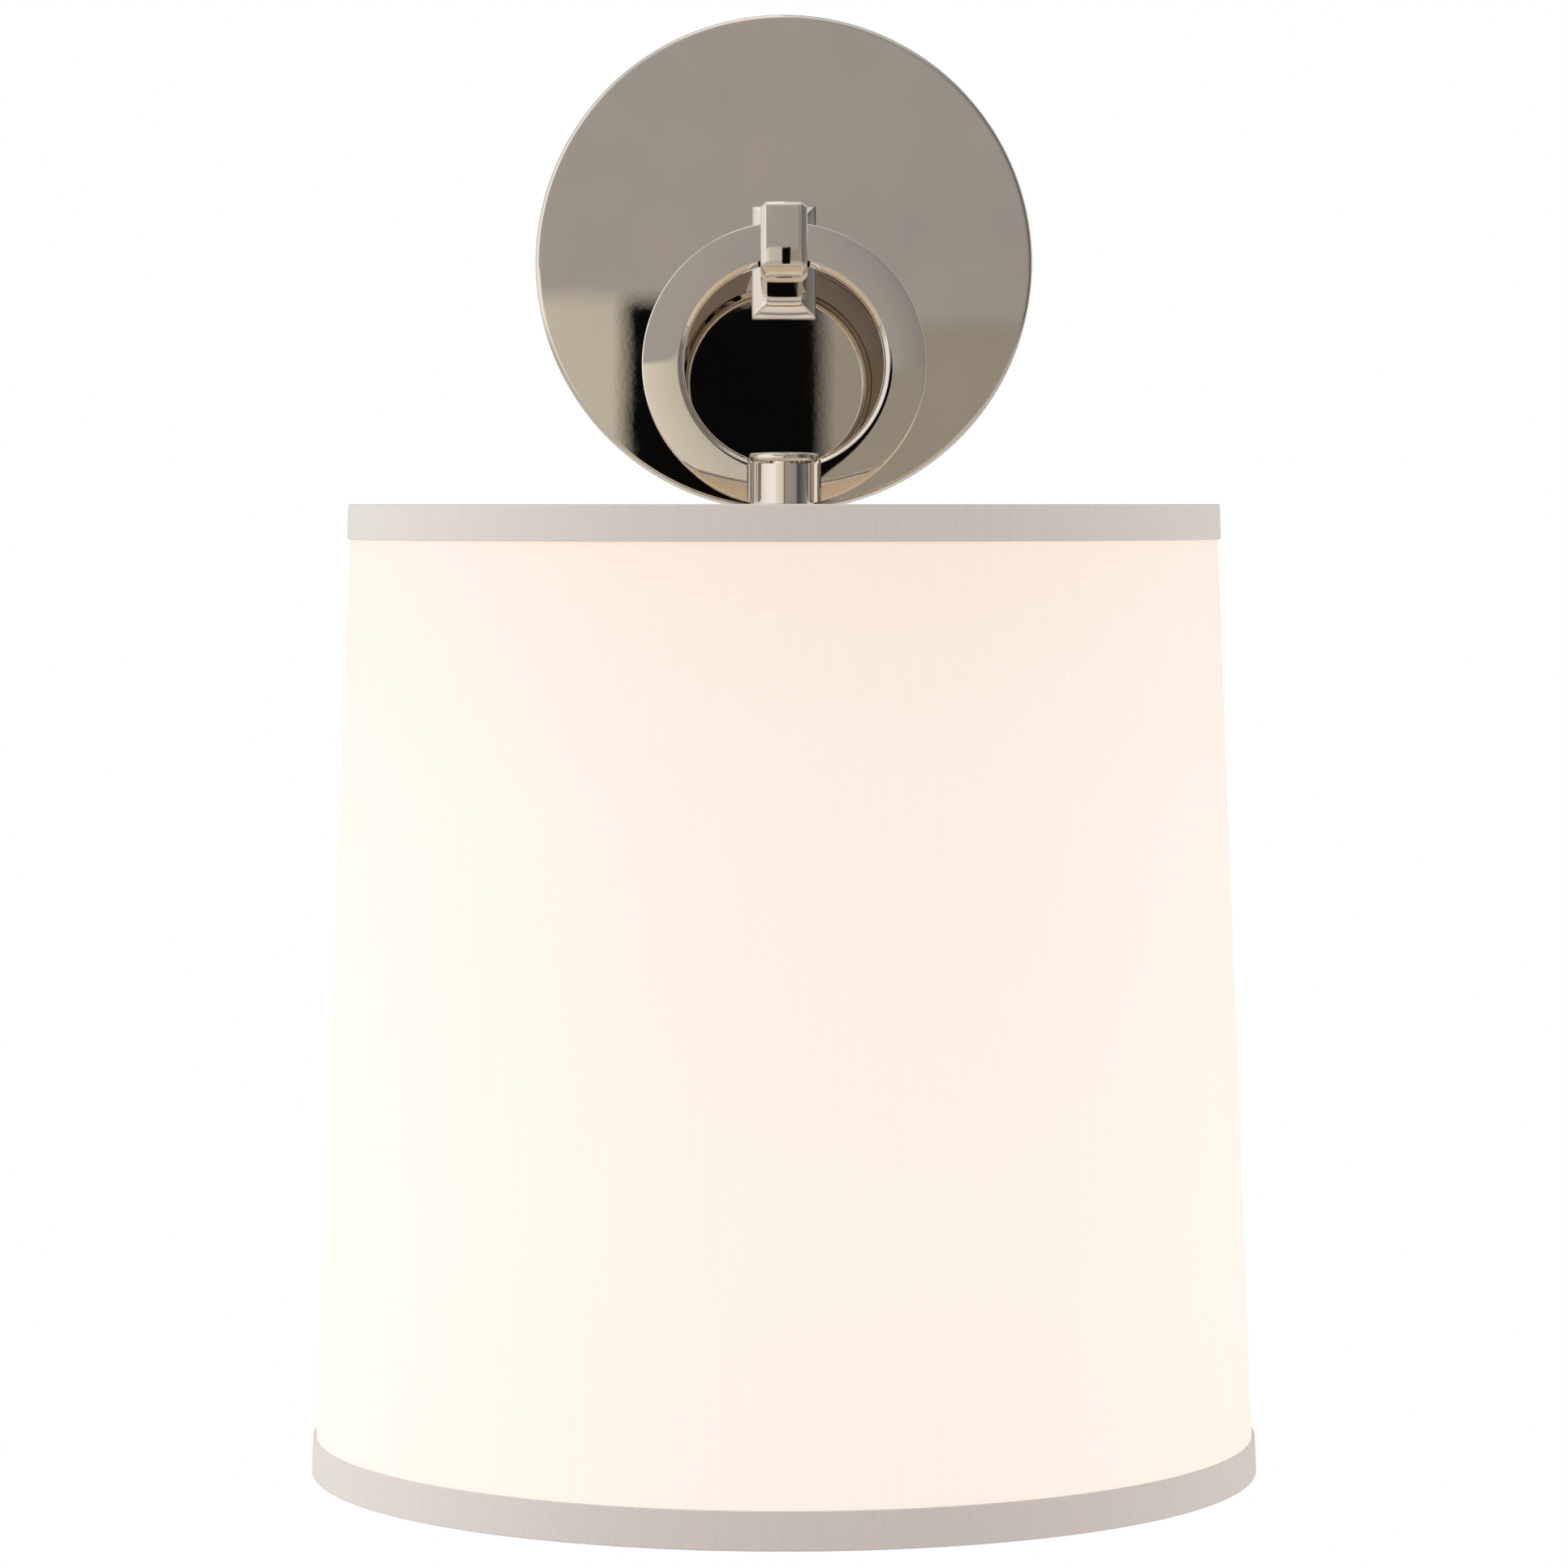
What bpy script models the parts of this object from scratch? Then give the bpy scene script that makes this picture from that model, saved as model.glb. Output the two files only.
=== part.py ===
"""Wall lamp: a round backplate, an eye-ended arm, a ring hung in the eye, and a fabric shade below the ring.

Metres, +Z up. The wall is the plane Y = 0 and the lamp stands out from it towards -Y. The origin is the
backplate's centre on the wall. The ring, stem, shade and socket rock together about the arm's eye, and the
bulb leaves its socket straight down.
"""

import math

import bmesh
import bpy
from mathutils import Matrix

# ---------------------------------------------------------------- driving sizes
PLATE_DIAMETER = 0.1016
PLATE_DEPTH = 0.014
PLATE_WALL = 0.0012
PLATE_EDGE = 0.001  # rounding of the front edge

REACH = 0.102  # wall to the shade's axis and the ring's mid-plane

RING_OUTER_RADIUS = 0.0268
RING_INNER_RADIUS = 0.0189
RING_DEPTH = 0.006
RING_ROUNDOVER = 0.00135  # how far the inner edge rolls in from the flat face
RING_EDGE = 0.0004

ARM_WIDTH = 0.0088
ARM_EDGE = 0.0011  # rounding of the arm's long edges
ARM_FLARE = 0.0014  # how much taller the arm is at the wall, above and below
EYE_LIP = 0.0018  # least metal above and below the eye
FINGER_THICKNESS = 0.0038
BASE_SIDE_STEP = 0.0021  # how far the foot stands out beside the arm
BASE_STEP = 0.0026  # and above and below it
BASE_DEPTH = 0.005
BASE_CHAMFER = 0.0024

STEM_RADIUS = 0.0056
STEM_CAP_OVERHANG = 0.0009
STEM_CAP_THICKNESS = 0.0016

SHADE_TOP_DIAMETER = 0.164
SHADE_BOTTOM_DIAMETER = 0.1778
SHADE_HEIGHT = 0.1817
SHADE_DROP = 0.0092  # stem shoulder below the shade's top edge
FABRIC = 0.0009
TRIM = 0.00045
TOP_TRIM_HEIGHT = 0.0066
BOTTOM_TRIM_HEIGHT = 0.007
FRAME_WIRE_RADIUS = 0.00125
SPOKE_RADIUS = 0.0011

BULB_LENGTH = 0.108
BULB_RADIUS = 0.03
BULB_CAP_RADIUS = 0.013
GLASS = 0.0008

SWING_OUT = 6.0  # degrees that the ring can rock away from the wall

# ---------------------------------------------------------------- clearances
GAP = 0.0003  # between pieces that touch
SLIM_GAP = 0.00015  # between turned pieces that share their facets
SWING_GAP = 0.0002  # left in the eye at the ends of the swing

# ---------------------------------------------------------------- small parts
NIPPLE_RADIUS = 0.0039
NIPPLE_BORE = 0.0026
NIPPLE_GRIP = 0.0038  # thread inside the arm's foot
NIPPLE_REAR = 0.005  # its back end's distance from the wall
NUT_ACROSS_FLATS = 0.013
NUT_THICKNESS = 0.004
WASHER_RADIUS = 0.0075
WASHER_THICKNESS = 0.0008
SLEEVE_RADIUS = 0.0021
ARM_BORE = 0.0025
RING_LEAD_RADIUS = 0.0012
LEAD_HOLE_ROOM = 0.0004
LEAD_RADIUS = 0.001
PIGTAIL_RADIUS = 0.0007

STRAP_THICKNESS = 0.0016
STRAP_WIDTH = 0.015
STRAP_TAB = 0.01
STRAP_END_ROOM = 0.0024  # from the strap's tab to the backplate's inner wall
STRAP_CENTRE_HOLE = 0.0051
BOX_SLOT_INNER = 0.0325  # the slots for the outlet box's own screws
BOX_SLOT_OUTER = 0.0442
BOX_SLOT_RADIUS = 0.0023
SET_SCREW_RADIUS = 0.0014
SET_SCREW_OFF_WALL = 0.006
GROUND_SCREW_X = -0.016
GROUND_HEAD_RADIUS = 0.0032
GROUND_SHANK_RADIUS = 0.0019
WIRE_NUT_MOUTH = 0.0051
WIRE_NUT_TIP = 0.0029
WIRE_NUT_LENGTH = 0.0165

CUFF_WALL = 0.0004
CUFF_CHEEK = 0.001  # thickness of the cuff's front and back
GROOVE_INNER = 0.0209
GROOVE_OUTER = 0.0256
GROOVE_DEPTH = 0.0038
COVER_THICKNESS = 0.0008

SPIGOT_RADIUS = 0.004
SPIGOT_LENGTH = 0.0088
STEM_CHAMBER = 0.0033
SPIGOT_BORE = 0.0024
HUB_RADIUS = 0.0125
HUB_THICKNESS = 0.0015

SOCKET_WALL = 0.0023
SOCKET_TO_CAP = 0.0007
SOCKET_LENGTH = 0.035
SOCKET_CROWN = 0.01  # solid top of the socket body
SHELL_WALL = 0.0005
TERMINAL_X = 0.0095
TERMINAL_HEAD = 0.0028
TERMINAL_SHANK = 0.0014

FINE, MEDIUM, COARSE = 40, 24, 14  # facets round a turned piece

# ---------------------------------------------------------------- places worked out from the sizes
PLATE_RADIUS = PLATE_DIAMETER / 2
RING_MID_RADIUS = (RING_OUTER_RADIUS + RING_INNER_RADIUS) / 2
RING_CENTRE = -RING_MID_RADIUS  # below the arm's axis, so that the ring's top sits in the eye
RING_BOTTOM = RING_CENTRE - RING_OUTER_RADIUS
SHADE_TOP = RING_BOTTOM + 0.0004
SHADE_BOTTOM = SHADE_TOP - SHADE_HEIGHT
SHADE_SLOPE = (SHADE_BOTTOM_DIAMETER - SHADE_TOP_DIAMETER) / 2 / SHADE_HEIGHT
GROOVE_MID = (GROOVE_INNER + GROOVE_OUTER) / 2
LEAD_OFF_MIDPLANE = RING_DEPTH / 2 - GROOVE_DEPTH + RING_LEAD_RADIUS + GAP  # behind the ring's mid-plane
STEM_TOP = RING_CENTRE - RING_INNER_RADIUS + 0.00025
STEM_CAP_RADIUS = STEM_RADIUS + STEM_CAP_OVERHANG
STEM_SHOULDER = SHADE_TOP - SHADE_DROP + GAP
BOSS_HALF = STEM_RADIUS + 0.0009  # where the stem's cross boss meets the ring's ends
SPIGOT_END = STEM_SHOULDER - SPIGOT_LENGTH
HUB_TOP = STEM_SHOULDER - GAP
HUB_BOTTOM = HUB_TOP - HUB_THICKNESS
CUFF_GAP_TO_RING = GAP
CUFF_HALF_DEPTH = RING_DEPTH / 2 + CUFF_GAP_TO_RING + CUFF_CHEEK
CUFF_RADIAL = CUFF_GAP_TO_RING + CUFF_WALL
CUFF_WIDTH = ARM_WIDTH - 2 * GAP
CUFF_TOP = RING_OUTER_RADIUS + CUFF_RADIAL + RING_CENTRE
CUFF_BOTTOM = (
    math.sqrt((RING_INNER_RADIUS - CUFF_RADIAL) ** 2 - (CUFF_WIDTH / 2) ** 2) + RING_CENTRE
)
FOOT_BACK = -(PLATE_DEPTH + GAP)
FOOT_FRONT = FOOT_BACK - BASE_DEPTH
SOCKET_CAP_TOP = HUB_BOTTOM - GAP
SHELL_BORE = BULB_CAP_RADIUS + GAP
SOCKET_BORE = SHELL_BORE + SHELL_WALL + GAP
SOCKET_RADIUS = SOCKET_BORE + SOCKET_WALL
SOCKET_CAP_INSIDE = SOCKET_RADIUS + GAP
SOCKET_CAP_OUTSIDE = SOCKET_CAP_INSIDE + SOCKET_TO_CAP
SOCKET_TOP = SPIGOT_END - 0.004  # room for the wire tails under the spigot
SOCKET_BOTTOM = SOCKET_TOP - SOCKET_LENGTH
SOCKET_CAVITY_TOP = SOCKET_TOP - SOCKET_CROWN
BULB_SEAT = SOCKET_CAVITY_TOP - 0.0015  # the bulb's contact tip


def eye_half_size(half_depth, half_height):
    """Half depth and half height that let a block of that half size rock by SWING_OUT in the eye."""
    turn = math.radians(SWING_OUT)
    depth = half_depth * math.cos(turn) + half_height * math.sin(turn) + SWING_GAP
    height = half_height * math.cos(turn) + half_depth * math.sin(turn) + SWING_GAP
    return depth, height


EYE_HALF_DEPTH, EYE_TOP = eye_half_size(CUFF_HALF_DEPTH, CUFF_TOP)
EYE_HALF_DEPTH_LOW, EYE_BOTTOM = eye_half_size(CUFF_HALF_DEPTH, -CUFF_BOTTOM)
EYE_HALF_DEPTH = max(EYE_HALF_DEPTH, EYE_HALF_DEPTH_LOW)
FINGER_FRONT = -(REACH + EYE_HALF_DEPTH + FINGER_THICKNESS)
ARM_HALF_AT_EYE = max(EYE_TOP, EYE_BOTTOM) + EYE_LIP
ARM_HALF_AT_WALL = ARM_HALF_AT_EYE + ARM_FLARE
BASE_WIDTH = ARM_WIDTH + 2 * BASE_SIDE_STEP
BASE_HEIGHT = 2 * (ARM_HALF_AT_WALL + BASE_STEP)


# ---------------------------------------------------------------- scene and materials
def start_scene():
    """Empty scene with one collection for the lamp and one for the cutters."""
    for old in list(bpy.data.objects):
        bpy.data.objects.remove(old)
    made = []
    for name in ("wall_lamp", "cutters"):
        collection = bpy.data.collections.new(name)
        bpy.context.scene.collection.children.link(collection)
        made.append(collection)
    made[1].hide_render = True
    return made


LAMP, CUTTERS = start_scene()


def finish_of(name, colour, roughness, metallic=0.0):
    """A plain Principled material."""
    made = bpy.data.materials.new(name)
    made.use_nodes = True
    shader = made.node_tree.nodes["Principled BSDF"]
    shader.inputs["Base Color"].default_value = (*colour, 1.0)
    shader.inputs["Roughness"].default_value = roughness
    shader.inputs["Metallic"].default_value = metallic
    made.diffuse_color = (*colour, 1.0)
    return made


NICKEL = finish_of("polished_nickel", (0.66, 0.61, 0.55), 0.05, 1.0)
STEEL = finish_of("zinc_plated_steel", (0.62, 0.63, 0.64), 0.35, 1.0)
BRASS = finish_of("brass", (0.78, 0.60, 0.32), 0.3, 1.0)
SILK = finish_of("silk_shade", (0.93, 0.88, 0.82), 0.8)
TRIM_TAPE = finish_of("silk_trim", (0.68, 0.62, 0.57), 0.8)
WIRE_ENAMEL = finish_of("white_enamel", (0.86, 0.86, 0.84), 0.4)
PORCELAIN = finish_of("porcelain", (0.88, 0.87, 0.83), 0.2)
GLASS_FROST = finish_of("frosted_glass", (0.95, 0.93, 0.9), 0.4)
BLACK_PLASTIC = finish_of("black_insulation", (0.03, 0.03, 0.03), 0.45)
WHITE_PLASTIC = finish_of("white_insulation", (0.8, 0.8, 0.78), 0.45)
GREEN_PLASTIC = finish_of("green_insulation", (0.05, 0.3, 0.1), 0.45)
SLEEVING = finish_of("grey_sleeving", (0.35, 0.34, 0.33), 0.6)


# ---------------------------------------------------------------- building blocks
def place(obj, collection):
    """Keeps the object in one collection only."""
    for holder in list(obj.users_collection):
        holder.objects.unlink(obj)
    collection.objects.link(obj)
    return obj


def empty(name, location, parent=None):
    made = bpy.data.objects.new(name, None)
    made.empty_display_size = 0.01
    made.location = location
    made.parent = parent
    LAMP.objects.link(made)
    return made


def dress(obj, name, material, parent=None):
    """Names a piece, gives it its material and its parent, and files it with the lamp."""
    obj.name = name
    obj.data.name = name
    obj.data.materials.clear()
    obj.data.materials.append(material)
    obj.parent = parent
    return place(obj, LAMP)


def hide(obj, name, parent=None):
    """Makes an object a cutter or a tool for a Boolean."""
    obj.name = name
    obj.parent = parent
    obj.hide_render = True
    obj.display_type = "WIRE"
    return place(obj, CUTTERS)


def turned(profile, steps, loop=True, forward=False):
    """A profile of (radius, height) turned about Z, or about Y with its height pointing to -Y."""
    mesh = bpy.data.meshes.new("turned")
    edges = [(i, i + 1) for i in range(len(profile) - 1)]
    if loop:
        edges.append((len(profile) - 1, 0))
    mesh.from_pydata([(r, 0.0, z) for r, z in profile], edges, [])
    obj = bpy.data.objects.new("turned", mesh)
    bpy.context.scene.collection.objects.link(obj)
    screw = obj.modifiers.new("turn", "SCREW")
    screw.axis = "Z"
    screw.steps = screw.render_steps = steps
    screw.use_merge_vertices = True
    screw.merge_threshold = 0.00001
    screw.use_smooth_shade = True
    if forward:
        obj.rotation_euler = (math.pi / 2, 0.0, 0.0)
    return obj


def block(low, high):
    """A box between two corners."""
    bpy.ops.mesh.primitive_cube_add(size=1.0)
    obj = bpy.context.active_object
    size = [b - a for a, b in zip(low, high)]
    obj.data.transform(Matrix.Diagonal((*size, 1.0)))
    obj.location = [(a + b) / 2 for a, b in zip(low, high)]
    return obj


AXIS_TURNS = {"X": (0.0, math.pi / 2, 0.0), "Y": (math.pi / 2, 0.0, 0.0), "Z": (0.0, 0.0, 0.0)}


def rod(radius, start, end, axis, at, sides=COARSE):
    """A cylinder along one axis from start to end, at two coordinates on the other axes."""
    middle = (start + end) / 2
    places = {"X": (middle, at[0], at[1]), "Y": (at[0], middle, at[1]), "Z": (at[0], at[1], middle)}
    bpy.ops.mesh.primitive_cylinder_add(
        vertices=sides,
        radius=radius,
        depth=abs(end - start),
        location=places[axis],
        rotation=AXIS_TURNS[axis],
    )
    bpy.context.active_object.data.shade_smooth()
    bpy.context.active_object.data.set_sharp_from_angle(angle=math.radians(40))
    return bpy.context.active_object


def as_mesh(obj):
    """Turns a curve object into a mesh object, with its caps welded on and each flat side one face."""
    graph = bpy.context.evaluated_depsgraph_get()
    mesh = bpy.data.meshes.new_from_object(obj.evaluated_get(graph))
    welded = bmesh.new()
    welded.from_mesh(mesh)
    bmesh.ops.remove_doubles(welded, verts=welded.verts, dist=0.000001)
    flat = math.radians(0.1)
    bmesh.ops.dissolve_limit(welded, angle_limit=flat, verts=welded.verts, edges=welded.edges)
    bmesh.ops.recalc_face_normals(welded, faces=welded.faces)
    welded.to_mesh(mesh)
    welded.free()
    made = bpy.data.objects.new(obj.name, mesh)
    made.matrix_world = obj.matrix_world
    bpy.context.scene.collection.objects.link(made)
    bpy.data.objects.remove(obj)
    return made


def flat_outline(points, thickness, rotation):
    """A closed flat outline given a thickness, centred on its own plane, then turned into place."""
    curve = bpy.data.curves.new("outline", "CURVE")
    curve.dimensions = "2D"
    curve.fill_mode = "BOTH"
    curve.extrude = thickness / 2
    spline = curve.splines.new("POLY")
    spline.points.add(len(points) - 1)
    for point, (u, v) in zip(spline.points, points):
        point.co = (u, v, 0.0, 1.0)
    spline.use_cyclic_u = True
    obj = bpy.data.objects.new("outline", curve)
    obj.rotation_euler = rotation
    bpy.context.scene.collection.objects.link(obj)
    bpy.context.view_layer.update()
    return as_mesh(obj)


def tube(points, radius, sides_level=2):
    """A round wire through its points."""
    curve = bpy.data.curves.new("wire", "CURVE")
    curve.dimensions = "3D"
    curve.bevel_depth = radius
    curve.bevel_resolution = sides_level
    curve.use_fill_caps = True
    spline = curve.splines.new("POLY")
    spline.points.add(len(points) - 1)
    for point, place_of in zip(spline.points, points):
        point.co = (*place_of, 1.0)
    obj = bpy.data.objects.new("wire", curve)
    bpy.context.scene.collection.objects.link(obj)
    return obj


def smooth_path(points, per_span):
    """Points along a smooth (Catmull-Rom) curve through the given ones."""
    ends = [points[0], *points, points[-1]]
    made = []
    for i in range(1, len(ends) - 2):
        a, b, c, d = ends[i - 1 : i + 3]
        for step in range(per_span):
            t = step / per_span
            made.append(
                tuple(
                    0.5
                    * (
                        2 * b[k]
                        + (c[k] - a[k]) * t
                        + (2 * a[k] - 5 * b[k] + 4 * c[k] - d[k]) * t**2
                        + (3 * b[k] - a[k] - 3 * c[k] + d[k]) * t**3
                    )
                    for k in range(3)
                )
            )
    made.append(tuple(points[-1]))
    return made


def arc(centre, radii, start, end, count):
    """Points on an elliptical arc, in degrees, from start to end."""
    turns = [math.radians(start + (end - start) * i / count) for i in range(count + 1)]
    return [(centre[0] + radii[0] * math.cos(t), centre[1] + radii[1] * math.sin(t)) for t in turns]


def boolean(target, tool, operation):
    made = target.modifiers.new(f"{operation.lower()}_{tool.name}", "BOOLEAN")
    made.operation = operation
    made.solver = "EXACT"
    made.object = tool
    return target


def cut(target, *tools):
    for tool in tools:
        boolean(target, tool, "DIFFERENCE")
    return target


def hex_nut(name, axis, low, high, bore, parent):
    """A hexagonal steel nut along one axis, with a round bore."""
    radius = NUT_ACROSS_FLATS / 2 / math.cos(math.pi / 6)
    nut = dress(rod(radius, low, high, axis, (0, 0), sides=6), name, STEEL, parent)
    return cut(nut, hide(rod(bore, low - 0.001, high + 0.001, axis, (0, 0)), f"{name}_bore", parent))


def soften(obj, width, segments=1, degrees=40, clamp=True):
    """Breaks a piece's sharp edges."""
    bevel = obj.modifiers.new("edges", "BEVEL")
    bevel.width = width
    bevel.segments = segments
    bevel.limit_method = "ANGLE"
    bevel.angle_limit = math.radians(degrees)
    bevel.use_clamp_overlap = clamp
    return obj


# ---------------------------------------------------------------- on the wall
def wall_strap(frame):
    """Steel strap that screws to the outlet box, with a bent tab at each end for the set screws."""
    outer = PLATE_RADIUS - PLATE_WALL - STRAP_END_ROOM
    inner = outer - STRAP_THICKNESS
    outline = [
        (-outer, 0.0),
        (-outer, -STRAP_TAB),
        (-inner, -STRAP_TAB),
        (-inner, -STRAP_THICKNESS),
        (inner, -STRAP_THICKNESS),
        (inner, -STRAP_TAB),
        (outer, -STRAP_TAB),
        (outer, 0.0),
    ]
    strap = dress(flat_outline(outline, STRAP_WIDTH, (0, 0, 0)), "wall_strap", STEEL, frame)
    holes = [("strap_centre_hole", STRAP_CENTRE_HOLE, 0.0)]
    holes.append(("strap_ground_hole", GROUND_SHANK_RADIUS + GAP, GROUND_SCREW_X))
    for name, radius, x in holes:
        cut(strap, hide(rod(radius, -0.004, 0.002, "Y", (x, 0)), name, frame))
    for side in (-1, 1):
        half = (BOX_SLOT_OUTER - BOX_SLOT_INNER) / 2 - BOX_SLOT_RADIUS
        slot = arc((half, 0), (BOX_SLOT_RADIUS,) * 2, -90, 90, 8)
        slot += arc((-half, 0), (BOX_SLOT_RADIUS,) * 2, 90, 270, 8)
        cutter = hide(flat_outline(slot, 0.01, (math.pi / 2, 0, 0)), "strap_slot", frame)
        cutter.location = (side * (BOX_SLOT_OUTER + BOX_SLOT_INNER) / 2, 0, 0)
        start, end = side * (inner - 0.002), side * (outer + 0.002)
        tab_hole = rod(SET_SCREW_RADIUS + GAP, start, end, "X", (-SET_SCREW_OFF_WALL, 0))
        cut(strap, cutter, hide(tab_hole, "strap_tab_hole", frame))
    return strap


def backplate(frame):
    """Spun dish that covers the outlet box: a flat mirror face and a straight rim to the wall."""
    inside = PLATE_RADIUS - PLATE_WALL
    hole = NIPPLE_RADIUS + GAP
    front = PLATE_DEPTH
    back = PLATE_DEPTH - PLATE_WALL
    profile = [(hole, front)]
    corner = (PLATE_RADIUS - PLATE_EDGE, front - PLATE_EDGE)
    profile += arc(corner, (PLATE_EDGE,) * 2, 90, 0, 3)
    profile += [(PLATE_RADIUS, 0.0), (inside, 0.0), (inside, back - 0.0006), (inside - 0.0006, back)]
    profile += [(hole, back)]
    plate = dress(turned(profile, FINE, forward=True), "backplate", NICKEL, frame)
    for side in (-1, 1):
        start, end = side * (inside - 0.002), side * (PLATE_RADIUS + 0.002)
        hole = rod(SET_SCREW_RADIUS + GAP, start, end, "X", (-SET_SCREW_OFF_WALL, 0))
        cut(plate, hide(hole, "rim_hole", frame))
    return plate


def set_screws(frame):
    """Headless screws through the rim into the strap's tabs, flush with the rim."""
    tab = PLATE_RADIUS - PLATE_WALL - STRAP_END_ROOM
    for side, name in ((-1, "set_screw_left"), (1, "set_screw_right")):
        start, end = side * (tab - STRAP_THICKNESS - 0.001), side * (PLATE_RADIUS - GAP)
        screw = rod(SET_SCREW_RADIUS, start, end, "X", (-SET_SCREW_OFF_WALL, 0))
        dress(screw, name, STEEL, frame)


def ground_screw(frame):
    """Green bonding screw in the strap."""
    head_back = STRAP_THICKNESS + GAP
    profile = [
        (0.0, head_back + 0.0017),
        (GROUND_HEAD_RADIUS - 0.0005, head_back + 0.0017),
        (GROUND_HEAD_RADIUS, head_back + 0.0012),
        (GROUND_HEAD_RADIUS, head_back),
        (GROUND_SHANK_RADIUS, head_back),
        (GROUND_SHANK_RADIUS, GAP),
        (0.0, GAP),
    ]
    screw = turned(profile, COARSE, loop=False, forward=True)
    screw.location = (GROUND_SCREW_X, 0, 0)
    return dress(screw, "ground_screw", GREEN_PLASTIC, frame)


def arm_outline():
    """Side view of the arm, forward to the left, with the finger rolled under at its foot."""
    half_wall, half_eye = ARM_HALF_AT_WALL, ARM_HALF_AT_EYE
    root = FOOT_BACK - BASE_DEPTH / 2
    crown, roll = 0.0018, 0.0036
    outline = [(root, -half_wall), (root, half_wall)]
    outline += arc((FINGER_FRONT + crown, half_eye - crown), (crown, crown), 90, 180, 4)
    outline += [(FINGER_FRONT - 0.0002, 0.0)]
    outline += arc((FINGER_FRONT + roll, roll - half_eye), (roll, roll), 180, 270, 6)
    return outline


def hook_arm(frame):
    """One casting: a chamfered foot, a tapering arm, and an eye behind a rounded finger."""
    turn = (math.pi / 2, 0.0, math.pi / 2)
    arm = dress(flat_outline(arm_outline(), ARM_WIDTH, turn), "hook_arm", NICKEL, frame)
    soften(arm, ARM_EDGE, segments=2, clamp=False)
    foot = block(
        (-BASE_WIDTH / 2, FOOT_FRONT, -BASE_HEIGHT / 2), (BASE_WIDTH / 2, FOOT_BACK, BASE_HEIGHT / 2)
    )
    shaped = bmesh.new()
    shaped.from_mesh(foot.data)
    front = [e for e in shaped.edges if all(v.co.y < 0 for v in e.verts)]
    bmesh.ops.bevel(shaped, geom=front, offset=BASE_CHAMFER, segments=1, affect="EDGES")
    shaped.to_mesh(foot.data)
    shaped.free()
    boolean(arm, hide(foot, "arm_foot", frame), "UNION")
    eye = block(
        (-ARM_WIDTH, -REACH - EYE_HALF_DEPTH, -EYE_BOTTOM), (ARM_WIDTH, -REACH + EYE_HALF_DEPTH, EYE_TOP)
    )
    bore = rod(ARM_BORE, FOOT_BACK + 0.002, -REACH, "Y", (0, 0))
    thread = rod(NIPPLE_RADIUS + 0.0002, FOOT_BACK + 0.002, FOOT_BACK - NIPPLE_GRIP - 0.0004, "Y", (0, 0))
    tools = (("eye_cut", eye), ("arm_bore_cut", bore), ("arm_thread_cut", thread))
    return cut(arm, *(hide(tool, name, frame) for name, tool in tools))


def arm_fixing(frame):
    """Hollow nipple through the backplate, with its lock washer and nut behind."""
    front = -(FOOT_BACK - NIPPLE_GRIP)
    nipple = [
        (NIPPLE_BORE, front),
        (NIPPLE_RADIUS, front),
        (NIPPLE_RADIUS, NIPPLE_REAR),
        (NIPPLE_BORE, NIPPLE_REAR),
    ]
    dress(turned(nipple, COARSE, forward=True), "arm_nipple", STEEL, frame)
    hole = NIPPLE_RADIUS + GAP
    seat = PLATE_DEPTH - PLATE_WALL - GAP
    washer = [
        (hole, seat),
        (WASHER_RADIUS, seat),
        (WASHER_RADIUS, seat - WASHER_THICKNESS),
        (hole, seat - WASHER_THICKNESS),
    ]
    dress(turned(washer, COARSE, forward=True), "lock_washer", STEEL, frame)
    nut_front = seat - WASHER_THICKNESS - GAP
    hex_nut("nipple_nut", "Y", -nut_front, NUT_THICKNESS - nut_front, hole, frame)


def wall_wiring(frame):
    """The lead's sleeve in the arm, its three tails, and their connectors inside the backplate."""
    tail_y = -(NIPPLE_REAR - LEAD_RADIUS - GAP)
    rear = tail_y - LEAD_RADIUS - GAP
    front = -REACH + EYE_HALF_DEPTH + 0.0006
    dress(rod(SLEEVE_RADIUS, rear, front, "Y", (0, 0), 12), "arm_wire_sleeve", SLEEVING, frame)
    for side, colour, material in ((-1, "live", BLACK_PLASTIC), (1, "neutral", WHITE_PLASTIC)):
        nut_x, nut_y, nut_z = side * 0.0125, -0.0064, 0.0205
        route = [
            (side * 0.00115, tail_y, 0.0006),
            (side * 0.004, tail_y, 0.0045),
            (side * 0.0085, tail_y - 0.0006, 0.0105),
            (side * 0.0117, nut_y + 0.0006, 0.016),
            (nut_x, nut_y, nut_z - GAP),
        ]
        dress(tube(smooth_path(route, 3), LEAD_RADIUS), f"{colour}_lead", material, frame)
        profile = [
            (0.0, WIRE_NUT_LENGTH),
            (WIRE_NUT_TIP - 0.0006, WIRE_NUT_LENGTH),
            (WIRE_NUT_TIP, WIRE_NUT_LENGTH - 0.0006),
            (WIRE_NUT_MOUTH - 0.0006, 0.0035),
            (WIRE_NUT_MOUTH, 0.003),
            (WIRE_NUT_MOUTH, 0.0),
            (0.0, 0.0),
        ]
        nut = turned(profile, COARSE, loop=False)
        nut.location = (nut_x, nut_y, nut_z)
        dress(nut, f"{colour}_wire_nut", material, frame)
    ground = [
        (0.0, tail_y, -0.0017),
        (-0.004, tail_y, -0.0044),
        (-0.008, tail_y + 0.0006, -0.0044),
        (GROUND_SCREW_X + GROUND_HEAD_RADIUS + 0.0005, -0.003, -0.0012),
    ]
    dress(tube(smooth_path(ground, 3), LEAD_RADIUS), "ground_lead", GREEN_PLASTIC, frame)


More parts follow.
